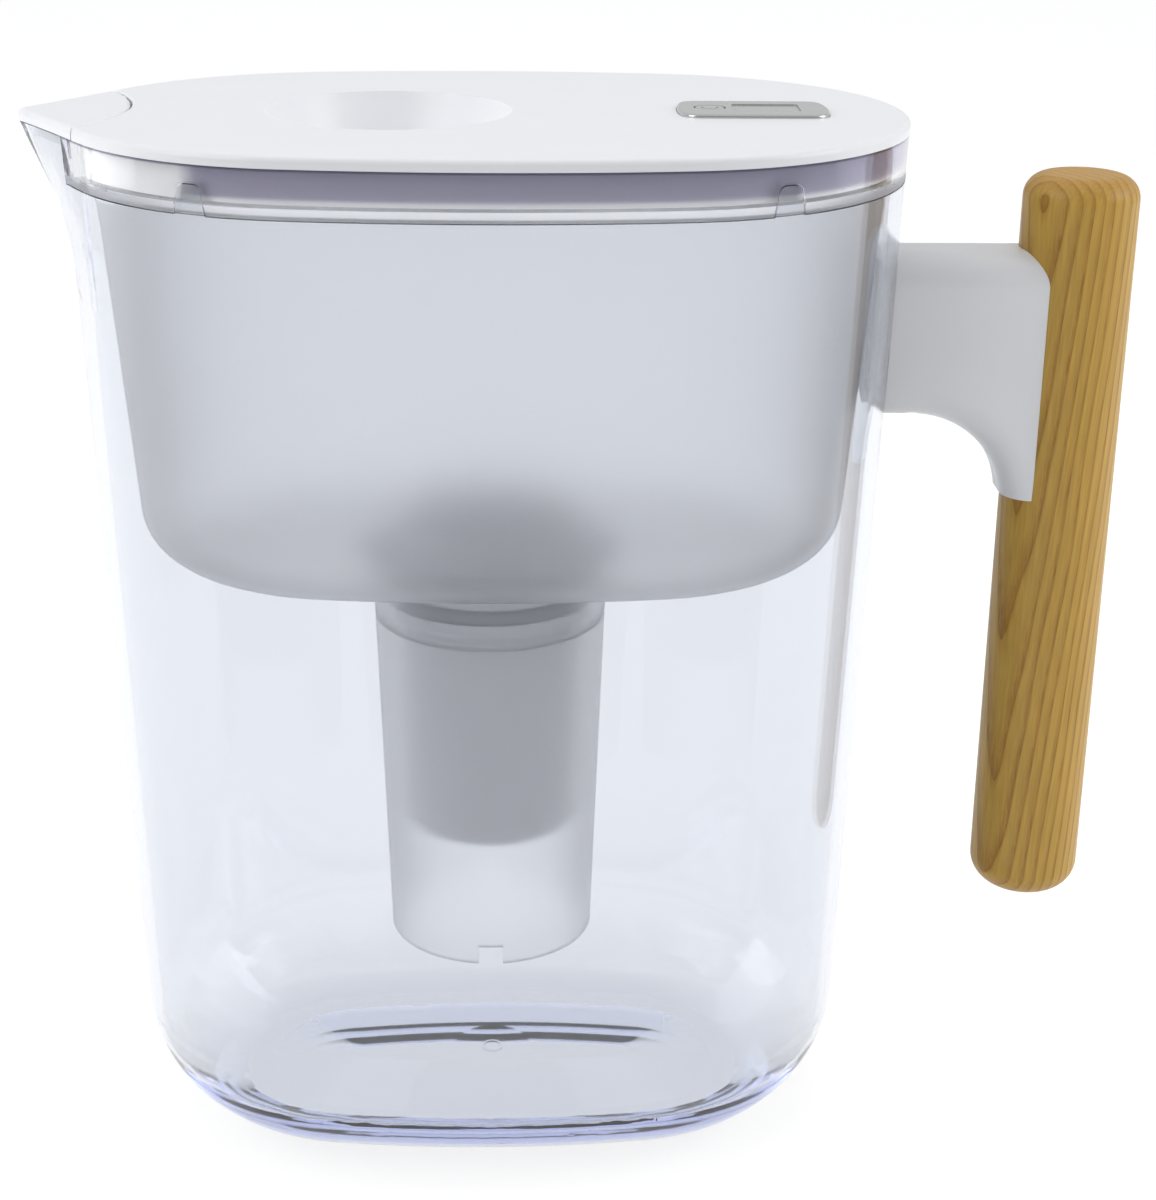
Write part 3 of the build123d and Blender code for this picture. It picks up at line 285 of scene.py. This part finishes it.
def frosted_copolyester(finish):
    # The same plastic from a tool blasted below the band: the fine texture blurs what is
    # behind the trough. The band stays clear, with a painted shade where the lid's skirt stands
    # behind it and a painted gap shadow along its upper edge. A blasted tool's pits are far finer
    # than the 0.5 mm here, which is what it takes to show
    material, tree, out, place = new_material("copolyester, trough frosted, band polished")
    spot = put(tree, "ShaderNodeSeparateXYZ", {"Vector": place})
    frost = put(
        tree,
        "ShaderNodeMapRange",
        {
            "Value": spot.outputs["Z"],
            "From Min": finish.frost_top + 0.2 * MM,
            "From Max": finish.frost_top - 0.2 * MM,
        },
    ).outputs["Result"]
    grain = put(
        tree, "ShaderNodeTexNoise", {"Vector": place, "Scale": 1 / (0.5 * MM), "Detail": 2.0}
    )
    blasted = put(
        tree,
        "ShaderNodeMapRange",
        {"Value": grain.outputs["Fac"], "To Min": 0.3, "To Max": 0.4},
    )
    rough = put(
        tree,
        "ShaderNodeMapRange",
        {"Value": frost, "To Min": POLISHED, "To Max": blasted.outputs["Result"]},
    )
    bump = put(
        tree,
        "ShaderNodeBump",
        {"Height": grain.outputs["Fac"], "Strength": 0.06, "Distance": 0.04 * MM},
    )
    # Painted shade: the band is greyed where the lid's skirt stands behind it, short of the spout
    painted_skirt_shade = put(
        tree,
        "ShaderNodeMapRange",
        {"Value": spot.outputs["Z"], "From Min": PAINTED_SKIRT_SHADE[0], "From Max": PAINTED_SKIRT_SHADE[1]},
    )
    past_end = put(
        tree,
        "ShaderNodeMapRange",
        {"Value": spot.outputs["X"], "From Min": SKIRT_END[0], "From Max": SKIRT_END[1]},
    )
    shade = put(
        tree,
        "ShaderNodeMath",
        {0: painted_skirt_shade.outputs["Result"], 1: past_end.outputs["Result"]},
        operation="MULTIPLY",
    )
    with_painted_shade = put(
        tree,
        "ShaderNodeMix",
        {
            MIX_SHARE: shade.outputs[0],
            MIX_FROM: solid(finish.frosted_tint),
            MIX_TO: solid(linear("#CBC9D6")),
        },
        data_type="RGBA",
    )
    # Painted shadow: the band's upper edge is darkened where the lid sits on it, for the gap's
    # shadow
    painted_gap_shadow = put(
        tree,
        "ShaderNodeMapRange",
        {"Value": spot.outputs["Z"], "From Min": GAP_SHADOW_HEIGHTS[0], "From Max": GAP_SHADOW_HEIGHTS[1]},
    )
    with_gap_shadow = put(
        tree,
        "ShaderNodeMix",
        {
            MIX_SHARE: painted_gap_shadow.outputs["Result"],
            MIX_FROM: with_painted_shade.outputs[MIXED],
            MIX_TO: solid(linear("#62637E")),
        },
        data_type="RGBA",
    )
    surface = put(
        tree,
        "ShaderNodeBsdfPrincipled",
        {
            "Base Color": with_gap_shadow.outputs[MIXED],
            "Roughness": rough.outputs["Result"],
            "IOR": 1.38,
            "Transmission Weight": 1.0,
            "Normal": bump.outputs["Normal"],
        },
    )
    body = put(
        tree,
        "ShaderNodeVolumeAbsorption",
        {"Color": solid(linear("#C2CCFA")), "Density": 5.0},
    )
    tree.links.new(surface.outputs[0], out.inputs["Surface"])
    tree.links.new(body.outputs[0], out.inputs["Volume"])
    return material


def white_abs(finish):
    # White ABS, moulded in a fine-stoned tool: a soft gloss with a trace of flow unevenness.
    # The stone's marks are drawn coarser than real, at 0.6 mm, so that they show
    material, tree, out, place = new_material("white ABS, satin moulded")
    stone = put(
        tree, "ShaderNodeTexNoise", {"Vector": place, "Scale": 1 / (0.6 * MM), "Detail": 3.0}
    )
    sink = put(tree, "ShaderNodeTexNoise", {"Vector": place, "Scale": 1 / (30 * MM), "Detail": 1.0})
    rough = put(
        tree,
        "ShaderNodeMapRange",
        {"Value": sink.outputs["Fac"], "To Min": 0.26, "To Max": 0.36},
    )
    bump = put(
        tree,
        "ShaderNodeBump",
        {"Height": stone.outputs["Fac"], "Strength": 0.04, "Distance": 0.04 * MM},
    )
    tone = put(
        tree,
        "ShaderNodeMix",
        {
            MIX_SHARE: sink.outputs["Fac"],
            MIX_FROM: solid(finish.white),
            MIX_TO: solid(linear("#ECEDF0")),
        },
        data_type="RGBA",
    )
    surface = put(
        tree,
        "ShaderNodeBsdfPrincipled",
        {
            "Base Color": tone.outputs[MIXED],
            "Roughness": rough.outputs["Result"],
            "IOR": 1.5,
            "Normal": bump.outputs["Normal"],
        },
    )
    tree.links.new(surface.outputs[0], out.inputs["Surface"])
    return material


def oiled_ash(finish):
    # Ash, turned and oiled: the years are rings round a pith that lies outside the dowel and
    # leans, so that its face shows nested arches and its side straight lines
    material, tree, out, place = new_material("ash, turned and oiled")
    lie = put(
        tree,
        "ShaderNodeMapping",
        {"Vector": place, "Location": PITH_PLACE, "Rotation": PITH_LEAN},
    ).outputs["Vector"]
    long_way = put(
        tree, "ShaderNodeMapping", {"Vector": lie, "Scale": (1, 1, 0.12)}
    ).outputs["Vector"]
    drift = put(
        tree, "ShaderNodeTexNoise", {"Vector": long_way, "Scale": 1 / (16 * MM), "Detail": 2.0}
    )
    bend = put(
        tree,
        "ShaderNodeVectorMath",
        {0: drift.outputs["Color"], 1: (7 * MM, 7 * MM, 0.0)},
        operation="MULTIPLY",
    )
    bent = put(
        tree, "ShaderNodeVectorMath", {0: lie, 1: bend.outputs[0]}, operation="ADD"
    ).outputs[0]
    years = put(
        tree,
        "ShaderNodeTexWave",
        {"Vector": bent, "Scale": WAVE_UNIT / finish.ring_width, "Distortion": 0.0},
        wave_type="RINGS",
        rings_direction="Z",
        wave_profile="SAW",
    )
    fibre_way = put(
        tree, "ShaderNodeMapping", {"Vector": lie, "Scale": (1, 1, 0.03)}
    ).outputs["Vector"]
    fibre = put(
        tree, "ShaderNodeTexNoise", {"Vector": fibre_way, "Scale": 1 / (0.7 * MM), "Detail": 3.0}
    )
    pores = put(
        tree,
        "ShaderNodeTexNoise",
        {"Vector": fibre_way, "Scale": 1 / (0.35 * MM), "Detail": 1.0},
    )
    open_pores = put(
        tree,
        "ShaderNodeMapRange",
        {"Value": pores.outputs["Fac"], "From Min": 0.5, "From Max": 0.62},
    )
    early = put(
        tree,
        "ShaderNodeMapRange",
        {"Value": years.outputs["Fac"], "From Min": 0.5, "From Max": 0.9},
    )
    in_line = put(
        tree,
        "ShaderNodeMath",
        {0: open_pores.outputs["Result"], 1: early.outputs["Result"]},
        operation="MULTIPLY",
    )
    pore_share = put(tree, "ShaderNodeMath", {0: in_line.outputs[0], 1: 0.5}, operation="MULTIPLY")
    colour = put(
        tree,
        "ShaderNodeValToRGB",
        {"Fac": years.outputs["Fac"]},
        ramp=[
            (0.0, linear("#BF9340")),
            (0.12, finish.wood_light),
            (0.68, linear("#C49B47")),
            (0.88, linear("#BA8D3E")),
            (1.0, linear("#A77A33")),
        ],
    )
    streak = put(
        tree,
        "ShaderNodeMapRange",
        {"Value": fibre.outputs["Fac"], "To Min": 0.7, "To Max": 1.26},
    )
    streaked = put(
        tree,
        "ShaderNodeVectorMath",
        {0: colour.outputs["Color"], "Scale": streak.outputs["Result"]},
        operation="SCALE",
    )
    pored = put(
        tree,
        "ShaderNodeMix",
        {
            MIX_SHARE: pore_share.outputs[0],
            MIX_FROM: streaked.outputs[0],
            MIX_TO: solid(finish.wood_dark),
        },
        data_type="RGBA",
    )
    height = put(tree, "ShaderNodeSeparateXYZ", {"Vector": place}).outputs["Z"]
    top, foot = (
        put(
            tree, "ShaderNodeMapRange", {"Value": height, "From Min": inner, "From Max": outer}
        ).outputs["Result"]
        for inner, outer in (GRIP_TOP, GRIP_FOOT)
    )
    ends = put(tree, "ShaderNodeMath", {0: top, 1: foot}, operation="ADD")
    end_share = put(tree, "ShaderNodeMath", {0: ends.outputs[0], 1: 0.4}, operation="MULTIPLY")
    ended = put(
        tree,
        "ShaderNodeMix",
        {
            MIX_SHARE: end_share.outputs[0],
            MIX_FROM: pored.outputs[MIXED],
            MIX_TO: solid(linear("#A87A3E")),
        },
        data_type="RGBA",
    )
    relief = put(
        tree,
        "ShaderNodeBump",
        {"Height": in_line.outputs[0], "Strength": 0.3, "Distance": 0.12 * MM},
        invert=True,
    )
    surface = put(
        tree,
        "ShaderNodeBsdfPrincipled",
        {
            "Base Color": ended.outputs[MIXED],
            "Roughness": 0.42,
            "IOR": 1.42,
            "Normal": relief.outputs["Normal"],
        },
    )
    tree.links.new(surface.outputs[0], out.inputs["Surface"])
    return material


def plain_finish(name, code, roughness, metallic=0.0, grain_mm=0.5, strength=0.05):
    """A moulded, cast or plated finish whose colour and gloss vary a little at one grain size."""
    material, tree, out, place = new_material(name)
    grain = put(
        tree, "ShaderNodeTexNoise", {"Vector": place, "Scale": 1 / (grain_mm * MM), "Detail": 2.0}
    )
    tone = put(
        tree,
        "ShaderNodeMapRange",
        {"Value": grain.outputs["Fac"], "To Min": 0.92, "To Max": 1.04},
    )
    colour = put(
        tree,
        "ShaderNodeVectorMath",
        {0: linear(code), "Scale": tone.outputs["Result"]},
        operation="SCALE",
    )
    gloss = put(
        tree,
        "ShaderNodeMapRange",
        {"Value": grain.outputs["Fac"], "To Min": roughness * 0.85, "To Max": roughness * 1.15},
    )
    bump = put(
        tree,
        "ShaderNodeBump",
        {"Height": grain.outputs["Fac"], "Strength": strength, "Distance": 0.05 * MM},
    )
    surface = put(
        tree,
        "ShaderNodeBsdfPrincipled",
        {
            "Base Color": colour.outputs[0],
            "Roughness": gloss.outputs["Result"],
            "Metallic": metallic,
            "Normal": bump.outputs["Normal"],
        },
    )
    tree.links.new(surface.outputs[0], out.inputs["Surface"])
    return material


def silver_abs():
    # ABS with a silver lacquer, which hides the moulding grain and mirrors the room softly.
    # Its flakes are drawn at 0.15 mm, several times their size, so that they show
    material, tree, out, place = new_material("silver lacquered ABS")
    flake = put(tree, "ShaderNodeTexNoise", {"Vector": place, "Scale": 1 / (0.15 * MM)})
    gloss = put(
        tree,
        "ShaderNodeMapRange",
        {"Value": flake.outputs["Fac"], "To Min": 0.16, "To Max": 0.24},
    )
    surface = put(
        tree,
        "ShaderNodeBsdfPrincipled",
        {
            "Base Color": solid(linear(SILVER)),
            "Metallic": 0.85,
            "Roughness": gloss.outputs["Result"],
        },
    )
    tree.links.new(surface.outputs[0], out.inputs["Surface"])
    return material, tree, surface, place


def marked_button(settings):
    # The same lacquer with a printed open ring, which tells the finger where to press
    material, tree, surface, place = silver_abs()
    material.name = "silver lacquered ABS, printed"
    flat = put(tree, "ShaderNodeMapping", {"Vector": place, "Scale": (1, 1, 0)}).outputs["Vector"]
    reach = put(
        tree,
        "ShaderNodeVectorMath",
        {0: flat, 1: (settings.button_x, 0.0, 0.0)},
        operation="DISTANCE",
    )
    off_line = put(
        tree,
        "ShaderNodeMath",
        {0: reach.outputs["Value"], 1: settings.mark_radius},
        operation="SUBTRACT",
    )
    away = put(tree, "ShaderNodeMath", {0: off_line.outputs[0]}, operation="ABSOLUTE")
    ring = put(
        tree,
        "ShaderNodeMapRange",
        {"Value": away.outputs[0], "From Min": 0.3 * MM, "From Max": 0.2 * MM},
    )
    depth = put(tree, "ShaderNodeSeparateXYZ", {"Vector": place}).outputs["Y"]
    open_side = put(
        tree,
        "ShaderNodeMapRange",
        {"Value": depth, "From Min": 1.1 * MM, "From Max": 1.0 * MM},
    )
    print_share = put(
        tree,
        "ShaderNodeMath",
        {0: ring.outputs["Result"], 1: open_side.outputs["Result"]},
        operation="MULTIPLY",
    )
    colour = put(
        tree,
        "ShaderNodeMix",
        {
            MIX_SHARE: print_share.outputs[0],
            MIX_FROM: solid(linear(SILVER)),
            MIX_TO: solid(linear("#6F7073")),
        },
        data_type="RGBA",
    )
    tree.links.new(colour.outputs[MIXED], surface.inputs["Base Color"])
    return material


def acrylic_window():
    # Clear acrylic over the display: it takes the display's tone and a faint gloss
    material, tree, out, place = new_material("acrylic, polished")
    wave = put(tree, "ShaderNodeTexNoise", {"Vector": place, "Scale": 1 / (6 * MM)})
    gloss = put(
        tree,
        "ShaderNodeMapRange",
        {"Value": wave.outputs["Fac"], "To Min": 0.05, "To Max": 0.12},
    )
    surface = put(
        tree,
        "ShaderNodeBsdfPrincipled",
        {
            "Base Color": solid(linear("#DEDEDA")),
            "Roughness": gloss.outputs["Result"],
            "IOR": 1.49,
            "Transmission Weight": 0.45,
        },
    )
    tree.links.new(surface.outputs[0], out.inputs["Surface"])
    return material


def woven_nylon():
    # Nylon screen: threads cross at a fixed pitch, and the holes between them look dark. The
    # pitch is 0.8 mm, about twice a filter screen's, so that the weave shows
    material, tree, out, place = new_material("nylon screen, woven")
    threads = [
        put(
            tree,
            "ShaderNodeTexWave",
            {"Vector": place, "Scale": WAVE_UNIT / (0.8 * MM)},
            wave_type="BANDS",
            bands_direction=way,
        ).outputs["Fac"]
        for way in ("X", "Y")
    ]
    weave = put(tree, "ShaderNodeMath", {0: threads[0], 1: threads[1]}, operation="MAXIMUM")
    colour = put(
        tree,
        "ShaderNodeValToRGB",
        {"Fac": weave.outputs[0]},
        ramp=[(0.45, linear("#5C5D60")), (0.7, linear("#E4E4DE"))],
    )
    bump = put(
        tree, "ShaderNodeBump", {"Height": weave.outputs[0], "Strength": 0.6, "Distance": 0.2 * MM}
    )
    surface = put(
        tree,
        "ShaderNodeBsdfPrincipled",
        {"Base Color": colour.outputs["Color"], "Roughness": 0.6, "Normal": bump.outputs["Normal"]},
    )
    tree.links.new(surface.outputs[0], out.inputs["Surface"])
    return material


def carbon_granules():
    # Carbon granules with a few pale resin beads: every cell of the pattern is one grain
    material, tree, out, place = new_material("carbon granules with resin beads")
    cells = put(tree, "ShaderNodeTexVoronoi", {"Vector": place, "Scale": 1 / (1.1 * MM)})
    pick = put(tree, "ShaderNodeSeparateXYZ", {"Vector": cells.outputs["Color"]}).outputs["X"]
    colour = put(
        tree,
        "ShaderNodeValToRGB",
        {"Fac": pick},
        ramp=[(0.0, linear("#151516")), (0.7, linear("#2A2A2B")), (0.78, linear("#B99A63"))],
    )
    bump = put(
        tree,
        "ShaderNodeBump",
        {"Height": cells.outputs["Distance"], "Strength": 0.8, "Distance": 0.6 * MM},
        invert=True,
    )
    surface = put(
        tree,
        "ShaderNodeBsdfPrincipled",
        {"Base Color": colour.outputs["Color"], "Roughness": 0.7, "Normal": bump.outputs["Normal"]},
    )
    tree.links.new(surface.outputs[0], out.inputs["Surface"])
    return material


def drawn_wire():
    # Stainless steel: drawn or cut, so the marks run one way and the mirror is a little dull.
    # The marks are drawn at 0.12 mm, wider than real ones, so that they show
    material, tree, out, place = new_material("stainless steel, drawn")
    marks = put(
        tree,
        "ShaderNodeTexNoise",
        {
            "Vector": put(
                tree, "ShaderNodeMapping", {"Vector": place, "Scale": (1, 0.08, 1)}
            ).outputs["Vector"],
            "Scale": 1 / (0.12 * MM),
            "Detail": 2.0,
        },
    )
    gloss = put(
        tree,
        "ShaderNodeMapRange",
        {"Value": marks.outputs["Fac"], "To Min": 0.2, "To Max": 0.34},
    )
    bump = put(
        tree,
        "ShaderNodeBump",
        {"Height": marks.outputs["Fac"], "Strength": 0.08, "Distance": 0.01 * MM},
    )
    surface = put(
        tree,
        "ShaderNodeBsdfPrincipled",
        {
            "Base Color": solid(linear("#C6C7C9")),
            "Metallic": 1.0,
            "Roughness": gloss.outputs["Result"],
            "Normal": bump.outputs["Normal"],
        },
    )
    tree.links.new(surface.outputs[0], out.inputs["Surface"])
    return material


class PITCHER_OT_jug(bpy.types.Operator):
    """Gives the jug its clear plastic"""

    bl_idname = "pitcher.jug"
    bl_label = "Jug"

    def execute(self, context):
        dress("jug", clear_copolyester(context.scene.pitcher_finish))
        return {"FINISHED"}


class PITCHER_OT_hopper(bpy.types.Operator):
    """Gives the hopper its frosted plastic"""

    bl_idname = "pitcher.hopper"
    bl_label = "Hopper"

    def execute(self, context):
        dress("hopper", frosted_copolyester(context.scene.pitcher_finish))
        return {"FINISHED"}


class PITCHER_OT_lid(bpy.types.Operator):
    """Finishes the lid, the pouring flap, the refill door and the arm in white"""

    bl_idname = "pitcher.lid"
    bl_label = "Lid and Arm"

    def execute(self, context):
        white = white_abs(context.scene.pitcher_finish)
        for name in ("lid", "spout_flap", "refill_door", "handle_arm", "counter_tray"):
            dress(name, white)
        return {"FINISHED"}


class PITCHER_OT_grip(bpy.types.Operator):
    """Finishes the wooden grip"""

    bl_idname = "pitcher.grip"
    bl_label = "Grip"

    def execute(self, context):
        dress("wood_grip", oiled_ash(context.scene.pitcher_finish))
        return {"FINISHED"}


class PITCHER_OT_cartridge(bpy.types.Operator):
    """Finishes the filter cartridge and what it holds"""

    bl_idname = "pitcher.cartridge"
    bl_label = "Cartridge"

    def execute(self, context):
        shell = plain_finish("polypropylene, matt moulded", "#F6F7FA", 0.45)
        for name in ("cartridge_body", "cartridge_cap"):
            dress(name, shell)
        dress("cartridge_seal", plain_finish("silicone, moulded", "#A9ADB5", 0.6))
        screen = woven_nylon()
        for name in ("foot_mesh", "top_mesh"):
            dress(name, screen)
        dress("filter_media", carbon_granules())
        return {"FINISHED"}


class PITCHER_OT_counter(bpy.types.Operator):
    """Finishes the use counter: plate, button, window and the works below them"""

    bl_idname = "pitcher.counter"
    bl_label = "Use Counter"

    def execute(self, context):
        dress("counter_bezel", silver_abs()[0])
        dress("counter_button", marked_button(context.scene.pitcher_counter))
        dress("counter_window", acrylic_window())
        dress("lcd_panel", plain_finish("liquid crystal cell", "#C3C5BE", 0.2))
        dress("lcd_connectors", plain_finish("conducting elastomer, cut", "#2B2B2D", 0.7))
        dress("circuit_board", plain_finish("solder mask on laminate", "#17522D", 0.4))
        dress("counter_gasket", plain_finish("silicone gasket, moulded", "#8E9197", 0.6))
        return {"FINISHED"}


class PITCHER_OT_metal(bpy.types.Operator):
    """Finishes the screws, the pin, the cell and the contacts in bare steel"""

    bl_idname = "pitcher.metal"
    bl_label = "Metal Parts"

    def execute(self, context):
        steel = drawn_wire()
        for name in (
            "grip_screws",
            "door_pin",
            "door_spring",
            "counter_screws",
            "snap_dome",
            "cell_contact",
            "coin_cell",
        ):
            dress(name, steel)
        return {"FINISHED"}


class PITCHER_OT_spring(bpy.types.Operator):
    """Winds the refill door's spring: a close coil round the pin, one leg under the door"""

    bl_idname = "pitcher.spring"
    bl_label = "Door Spring"

    @staticmethod
    def grow(bm, faces, move):
        """Draws faces out by a move, with a wall behind them, and gives back the moved faces."""
        grown = bmesh.ops.extrude_face_region(bm, geom=faces)["geom"]
        corners = [part for part in grown if isinstance(part, bmesh.types.BMVert)]
        bmesh.ops.translate(bm, vec=move, verts=corners)
        return [part for part in grown if isinstance(part, bmesh.types.BMFace)]

    def execute(self, context):
        size = context.scene.pitcher_spring
        rise = radians(size.leg_rise)
        turn = 2 * pi * size.turns + pi / 2 + rise
        bm = bmesh.new()
        tip = bmesh.ops.create_circle(
            bm, cap_ends=True, segments=size.sides, radius=size.wire_radius
        )["verts"]
        start = Vector((size.coil_radius, size.width / 2, size.stub))
        bmesh.ops.translate(bm, vec=start, verts=tip)
        root = self.grow(bm, bm.faces[:], (0, 0, -size.stub))
        steps = round(size.steps * turn / (2 * pi))
        wound = bmesh.ops.spin(
            bm,
            geom=root,
            cent=(0, 0, 0),
            axis=(0, 1, 0),
            dvec=(0, -size.width / steps, 0),
            angle=turn,
            steps=steps,
        )["geom_last"]
        end = [part for part in wound if isinstance(part, bmesh.types.BMFace)]
        self.grow(bm, end, Vector((-cos(rise), 0, sin(rise))) * size.leg)
        # The faces where stub, coil and leg meet lie inside the wire
        bmesh.ops.delete(bm, geom=root + end, context="FACES_ONLY")
        bmesh.ops.translate(bm, vec=Vector(size.centre), verts=bm.verts)
        bmesh.ops.remove_doubles(bm, verts=bm.verts, dist=WELD)
        bmesh.ops.recalc_face_normals(bm, faces=bm.faces)
        mesh = bpy.data.meshes.new("door_spring_wire")
        bm.to_mesh(mesh)
        bm.free()
        mesh.shade_smooth()
        mesh.set_sharp_from_angle(angle=SHARP_TURN)
        wire = bpy.data.objects.new("door_spring_wire", mesh)
        context.scene.collection.objects.link(wire)
        mesh.materials.append(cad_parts["door_spring"].material_slots[0].material)
        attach(wire, "refill_door")
        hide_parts("door_spring")
        return {"FINISHED"}


class PITCHER_OT_stage(bpy.types.Operator):
    """Sets the floor, the backdrop, the soft lights and the camera"""

    bl_idname = "pitcher.stage"
    bl_label = "Stage"

    def execute(self, context):
        settings = context.scene.pitcher_stage
        scene = context.scene
        scene.view_settings.view_transform = "Standard"
        scene.cycles.max_bounces = BOUNCES
        scene.cycles.transmission_bounces = BOUNCES
        scene.cycles.glossy_bounces = BOUNCES

        bm = bmesh.new()
        bmesh.ops.create_grid(bm, x_segments=1, y_segments=1, size=settings.floor_size / 2)
        mesh = bpy.data.meshes.new("floor")
        bm.to_mesh(mesh)
        bm.free()
        floor = bpy.data.objects.new("floor", mesh)
        floor.location.z = -FLOOR_DROP
        scene.collection.objects.link(floor)
        # White paper, which glows only where it is looked at, so that it lights no shadow away
        material, tree, out, _ = new_material("white paper floor")
        path = put(tree, "ShaderNodeLightPath")
        seen = put(
            tree,
            "ShaderNodeMath",
            {0: path.outputs["Is Camera Ray"], 1: path.outputs["Is Transmission Ray"]},
            operation="MAXIMUM",
        )
        shown = put(
            tree,
            "ShaderNodeMath",
            {0: seen.outputs[0], 1: path.outputs["Is Glossy Ray"]},
            operation="MAXIMUM",
        )
        glow = put(
            tree, "ShaderNodeMath", {0: shown.outputs[0], 1: FLOOR_GLOW}, operation="MULTIPLY"
        )
        paper = put(
            tree,
            "ShaderNodeMix",
            {
                MIX_SHARE: shown.outputs[0],
                MIX_FROM: solid(linear("#EEEEEE")),
                MIX_TO: solid(linear("#969696")),
            },
            data_type="RGBA",
        )
        surface = put(
            tree,
            "ShaderNodeBsdfPrincipled",
            {
                "Base Color": paper.outputs[MIXED],
                "Roughness": 0.9,
                "Emission Color": (1, 1, 1, 1),
                "Emission Strength": glow.outputs[0],
            },
        )
        tree.links.new(surface.outputs[0], out.inputs["Surface"])
        floor.data.materials.append(material)

        # White paper behind everything that is looked at, straight or through the plastic,
        # greyer to the sides so that clear edges show, and a plain room for the light
        world = bpy.data.worlds.new("white studio")
        scene.world = world
        world.use_nodes = True
        tree = world.node_tree
        tree.nodes.clear()
        out = put(tree, "ShaderNodeOutputWorld")
        path = put(tree, "ShaderNodeLightPath")
        way = put(tree, "ShaderNodeTexCoord").outputs["Generated"]
        side = put(tree, "ShaderNodeSeparateXYZ", {"Vector": way}).outputs["X"]
        sideways = put(tree, "ShaderNodeMath", {0: side}, operation="ABSOLUTE")
        backdrop = put(
            tree,
            "ShaderNodeValToRGB",
            {"Fac": sideways.outputs[0]},
            ramp=[(0.65, (1, 1, 1)), (1.0, (0.58, 0.59, 0.65))],
        )
        up_and_back = put(
            tree, "ShaderNodeVectorMath", {0: way, 1: (0.0, 0.6, 0.8)}, operation="DOT_PRODUCT"
        )
        share = put(
            tree, "ShaderNodeMapRange", {"Value": up_and_back.outputs["Value"], "From Min": -1.0}
        )
        depth = put(
            tree,
            "ShaderNodeValToRGB",
            {"Fac": share.outputs["Result"]},
            ramp=[(0.1, (0.32, 0.32, 0.33)), (0.45, (0.5, 0.5, 0.52)), (0.8, (0.95, 0.96, 0.98))],
        )
        room = put(
            tree,
            "ShaderNodeBackground",
            {"Color": depth.outputs["Color"], "Strength": ROOM_LIGHT},
        )
        sheet = put(
            tree,
            "ShaderNodeMix",
            {
                MIX_SHARE: path.outputs["Is Camera Ray"],
                MIX_FROM: backdrop.outputs["Color"],
                MIX_TO: (1, 1, 1, 1),
            },
            data_type="RGBA",
        )
        paper = put(tree, "ShaderNodeBackground", {"Color": sheet.outputs[MIXED]})
        seen = put(
            tree,
            "ShaderNodeMath",
            {0: path.outputs["Is Camera Ray"], 1: path.outputs["Is Transmission Ray"]},
            operation="MAXIMUM",
        )
        mixed = put(
            tree,
            "ShaderNodeMixShader",
            {0: seen.outputs[0], 1: room.outputs[0], 2: paper.outputs[0]},
        )
        tree.links.new(mixed.outputs[0], out.inputs["Surface"])

        for name, (spot, size, power) in LAMPS.items():
            light = bpy.data.lights.new(name, "AREA")
            light.shape = "RECTANGLE"
            light.size, light.size_y = size
            light.energy = power
            lamp = bpy.data.objects.new(name, light)
            lamp.location = spot
            aim = LAMPS_AIM - Vector(spot)
            lamp.rotation_euler = aim.to_track_quat("-Z", "Y").to_euler()
            lamp.visible_glossy = not name.endswith("fill")
            scene.collection.objects.link(lamp)

        data = bpy.data.cameras.new("camera")
        data.sensor_width = 36.0
        data.lens = settings.lens
        data.clip_start = 0.05
        camera = bpy.data.objects.new("camera", data)
        camera.matrix_world = (
            Matrix.Translation(CAMERA_PLACE)
            @ Matrix.Rotation(-CAMERA_YAW, 4, "Z")
            @ Matrix.Rotation(pi / 2 - CAMERA_PITCH, 4, "X")
            @ Matrix.Rotation(CAMERA_ROLL, 4, "Z")
        )
        scene.collection.objects.link(camera)
        scene.camera = camera
        return {"FINISHED"}


class PITCHER_PT_panel(bpy.types.Panel):
    """Lists the pitcher's pieces in the sidebar"""

    bl_idname = "PITCHER_PT_panel"
    bl_label = "Water Filter Pitcher"
    bl_space_type = "VIEW_3D"
    bl_region_type = "UI"
    bl_category = "Pitcher"

    def draw(self, context):
        for operator in OPERATORS:
            self.layout.operator(operator.bl_idname)


GROUPS = {
    "pitcher_finish": PitcherFinish,
    "pitcher_counter": PitcherCounter,
    "pitcher_spring": PitcherSpring,
    "pitcher_stage": PitcherStage,
}
OPERATORS = (
    PITCHER_OT_stage,
    PITCHER_OT_jug,
    PITCHER_OT_hopper,
    PITCHER_OT_lid,
    PITCHER_OT_grip,
    PITCHER_OT_cartridge,
    PITCHER_OT_counter,
    PITCHER_OT_metal,
    PITCHER_OT_spring,
)


def register():
    for group in GROUPS.values():
        bpy.utils.register_class(group)
    for operator in OPERATORS:
        bpy.utils.register_class(operator)
    bpy.utils.register_class(PITCHER_PT_panel)
    for name, group in GROUPS.items():
        setattr(bpy.types.Scene, name, PointerProperty(type=group))


def unregister():
    for name in GROUPS:
        delattr(bpy.types.Scene, name)
    bpy.utils.unregister_class(PITCHER_PT_panel)
    for operator in reversed(OPERATORS):
        bpy.utils.unregister_class(operator)
    for group in GROUPS.values():
        bpy.utils.unregister_class(group)


def main():
    register()
    for operator in OPERATORS:
        family, name = operator.bl_idname.split(".")
        getattr(getattr(bpy.ops, family), name)()


if __name__ == "__main__":
    main()
